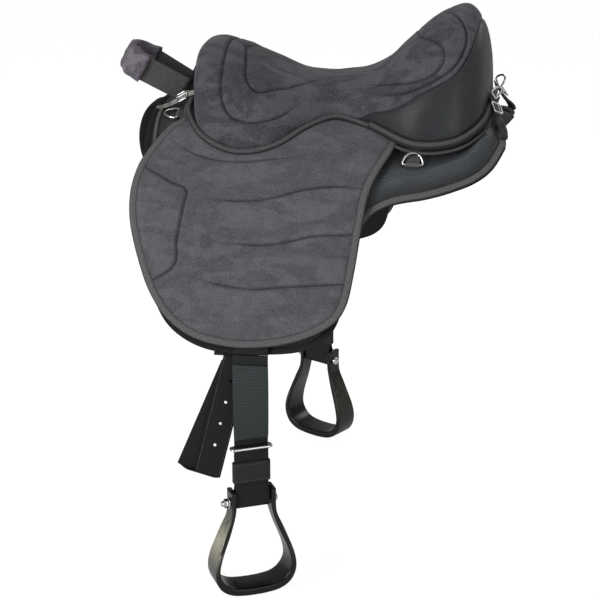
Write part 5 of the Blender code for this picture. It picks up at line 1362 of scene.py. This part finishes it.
def front_hint(side, share):
    turned_out = min(1.0, share * 2.2)
    return unit(slope_at(side * 0.051)[1] * (1 - turned_out) + slope_at(side * 0.145)[1] * turned_out)


# kind, width, the point its buckle sits at, the buckle's clearance, which way its face looks, slot, (x, s, h)
LACES = (
    ("front", 0.009, 3, 0.0006, front_hint, "pale_leather", mm(
        (-186, 51, 11.2), (-173, 52, 14), (-158.5, 52.5, 21.2), (-145, 52, 28.5), (-134, 51, 35),
        (-127, 50.5, 37.2))),
    ("rear", 0.012, 2, 0.0010, rear_hint, "leather", mm(
        (305.2, 36, 43), (308, 44, 37), (313.3, 55, 30.2), (319.2, 68, 22.5), (327, 84, 15.8),
        (329.2, 100, 11.2))))
for side_name, side in SIDES.items():
    line, height = tab_line(FRONT_RING_X, -0.1045, 1)
    down, _ = slope_at(side * FRONT_RING_S)
    tabbed(side_name + "_front_tab", lay(line[:, 0], side * FRONT_RING_S, line[:, 1]), down, FRONT_TAB)
    ringed(side_name + "_front_ring", lay(FRONT_RING_X, side * FRONT_RING_S, height), down, -LENGTHWISE,
           FRONT_RING, side_name + "_front_dee")

    line, height = tab_line(SIDE_RING_S, 0.114, -1)
    tabbed(side_name + "_side_tab", lay(SIDE_RING_X, side * line[:, 0], line[:, 1]), LENGTHWISE, SIDE_TAB)
    down, away = slope_at(side * SIDE_RING_S)
    ringed(side_name + "_side_ring", lay(SIDE_RING_X, side * SIDE_RING_S, height), LENGTHWISE,
           away * math.sin(SIDE_RING_LEAN) - down * math.cos(SIDE_RING_LEAN), SIDE_RING,
           side_name + "_side_dee")

    for kind, width, seat_point, clear, hint, slot, points in LACES:
        name = f"{side_name}_{kind}"
        line = lay(*(drawn(points, 0.0016) * (1, side, 1)).T)
        across, facing = directions(line,
                                    np.array([hint(side, k / (len(line) - 1)) for k in range(len(line))]))
        swell = np.ones((len(line), 2))
        swell[[0, -1], 0] = 0.75
        swell[[1, -2], 0] = 0.93
        lace = swept(name + "_lace_strap", line, across, facing, band(width, 2 * LACE_HALF, 0.4), swell=swell)
        dressed(lace, pale_strap if name == "near_front" else dark_strap, "saddle", [name + "_lace"])

        # the buckle's frame and tongue, on the lace
        line = lay(*(spline(points, np.linspace(0, 5, 16)) * (1, side, 1)).T)
        spot = seat_point * 3
        along = unit(line[spot + 1] - line[spot - 1])
        wide = unit(np.cross(along, hint(side, spot / 15)))
        facing = np.cross(wide, along)
        middle = line[spot] + facing * (LACE_HALF + GAP + 0.0012 + clear)
        path = placed(middle, rounded_loop(0.0085, width / 2 + 0.0022, 0.0032, 6), along, wide)
        across, up_way = directions(path, facing, True)
        buckle = swept(name + "_buckle_frame", path, across, up_way, oval(0.0013, 0.0013, 2.4, 12), True)
        dressed(buckle, steel, "saddle", [name + "_buckle"])
        pin = middle + np.linspace(-0.0085, 0.0097, 14)[:, None] * along + facing * (0.0012 + GAP + 0.0009)
        pin[0:2] -= facing * 0.0004
        slim = np.ones((14, 2))
        slim[-1] = 0.6
        wide, facing = (np.broadcast_to(way, pin.shape) for way in (wide, facing))
        tongue = swept(name + "_pin", pin, wide, facing, oval(0.0009, 0.0009, 2, 12), swell=slim)
        dressed(tongue, steel, name + "_tongue", [name + "_tongue"])
        if kind == "rear":
            start = unit(line[1] - line[0])
            wide = unit(np.cross(start, hint(side, 0.0)))
            facing = np.cross(wide, start)
            bar = line[0] + facing * (LACE_HALF + GAP + WIRE) + start * 0.002
            ringed(name + "_ring", bar, wide, unit(facing * 0.85 - start * 0.52), REAR_RING, name + "_dee")
for side_name in SIDES:
    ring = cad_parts[side_name + "_stirrup_ring"]
    ring.data.materials.clear()
    ring.data.materials.append(steel)

# ---------------------------------------------------------------- floor, light and camera
FLOOR_HALF, LOWEST = 40, -0.6475
floor_finish = bpy.data.materials.new("pale floor")
floor_finish.use_nodes = True
nodes = floor_finish.node_tree.nodes
nodes.remove(nodes["Principled BSDF"])
bench = Bench(floor_finish.node_tree)
glow = bench.add("ShaderNodeEmission", {"Color": (1, 1, 1, 1), "Strength": 1.15})
matt = bench.add("ShaderNodeBsdfDiffuse", {"Color": (0.90, 0.90, 0.90, 1)})
share = bench.times(bench.seen()[1], 0.80)
mixed = bench.add("ShaderNodeMixShader", {0: share, 1: matt.outputs[0], 2: glow.outputs[0]})
output = next(n for n in nodes if n.type == "OUTPUT_MATERIAL")
floor_finish.node_tree.links.new(mixed.outputs[0], output.inputs["Surface"])
mesh = bpy.data.meshes.new("floor")
mesh.from_pydata([(i * FLOOR_HALF, j * FLOOR_HALF, LOWEST) for i, j in ((-1, -1), (1, -1), (1, 1), (-1, 1))],
                 [], [(0, 1, 2, 3)])
floor = added("floor", mesh)
floor.data.materials.append(floor_finish)

world = bpy.data.worlds.new("studio")
bpy.context.scene.world = world
world.use_nodes = True
bench = Bench(world.node_tree)
background = world.node_tree.nodes["Background"]
path, seen = bench.seen()
lit = bench.plus(bench.times(path["Is Diffuse Ray"], 0.10), 0.28)
world.node_tree.links.new(bench.plus(bench.times(seen, 0.72), lit), background.inputs["Strength"])
background.inputs["Color"].default_value = (1, 1, 1, 1)

for name, place, target, size, power in (
        ("key", (-1.9, -2.7, 0.9), (0.0, -0.1, -0.15), (1.6, 1.6), 80),
        ("fill", (2.3, -2.4, 0.5), (0.1, -0.1, -0.2), (1.5, 1.8), 22),
        ("top", (0.25, 0.5, 2.6), (0.08, 0.0, 0.0), (1.2, 1.0), 11),
        ("rear", (1.6, 2.2, 1.2), (0.1, 0.0, -0.1), (1.2, 1.2), 12)):
    light = bpy.data.lights.new(name, "AREA")
    light.shape, light.size, light.size_y, light.energy = "RECTANGLE", size[0], size[1], power
    lamp = added(name, light)
    lamp.location = place
    lamp.rotation_euler = (Vector(target) - Vector(place)).to_track_quat("-Z", "Y").to_euler()

# The camera stands where the near stirrup's bolt falls on the photograph's point
PIXELS, FOCAL, SENSOR = 600, 1750, 36.0
AZIMUTH, ELEVATION, DISTANCE = math.radians(10), math.radians(18.5), 2.5
BOLT_PLACE, BOLT_PIXEL = np.array((0, -0.292, -0.505)), (251, 498)
back = np.array((math.sin(AZIMUTH) * math.cos(ELEVATION), -math.cos(AZIMUTH) * math.cos(ELEVATION),
                 math.sin(ELEVATION)))
right = np.array((math.cos(AZIMUTH), math.sin(AZIMUTH), 0))
upwards = np.cross(right, -back)
camera_data = bpy.data.cameras.new("camera")
camera_data.sensor_width, camera_data.sensor_height, camera_data.sensor_fit = SENSOR, SENSOR, "HORIZONTAL"
camera_data.lens = FOCAL / PIXELS * SENSOR
camera = added("camera", camera_data)
camera.location = (BOLT_PLACE + back * DISTANCE - right * (BOLT_PIXEL[0] - PIXELS / 2) * DISTANCE / FOCAL
                   + upwards * (BOLT_PIXEL[1] - PIXELS / 2) * DISTANCE / FOCAL)
camera.rotation_euler = Vector(-back).to_track_quat("-Z", "Y").to_euler()
bpy.context.scene.camera = camera
bpy.context.scene.view_settings.view_transform = "Standard"
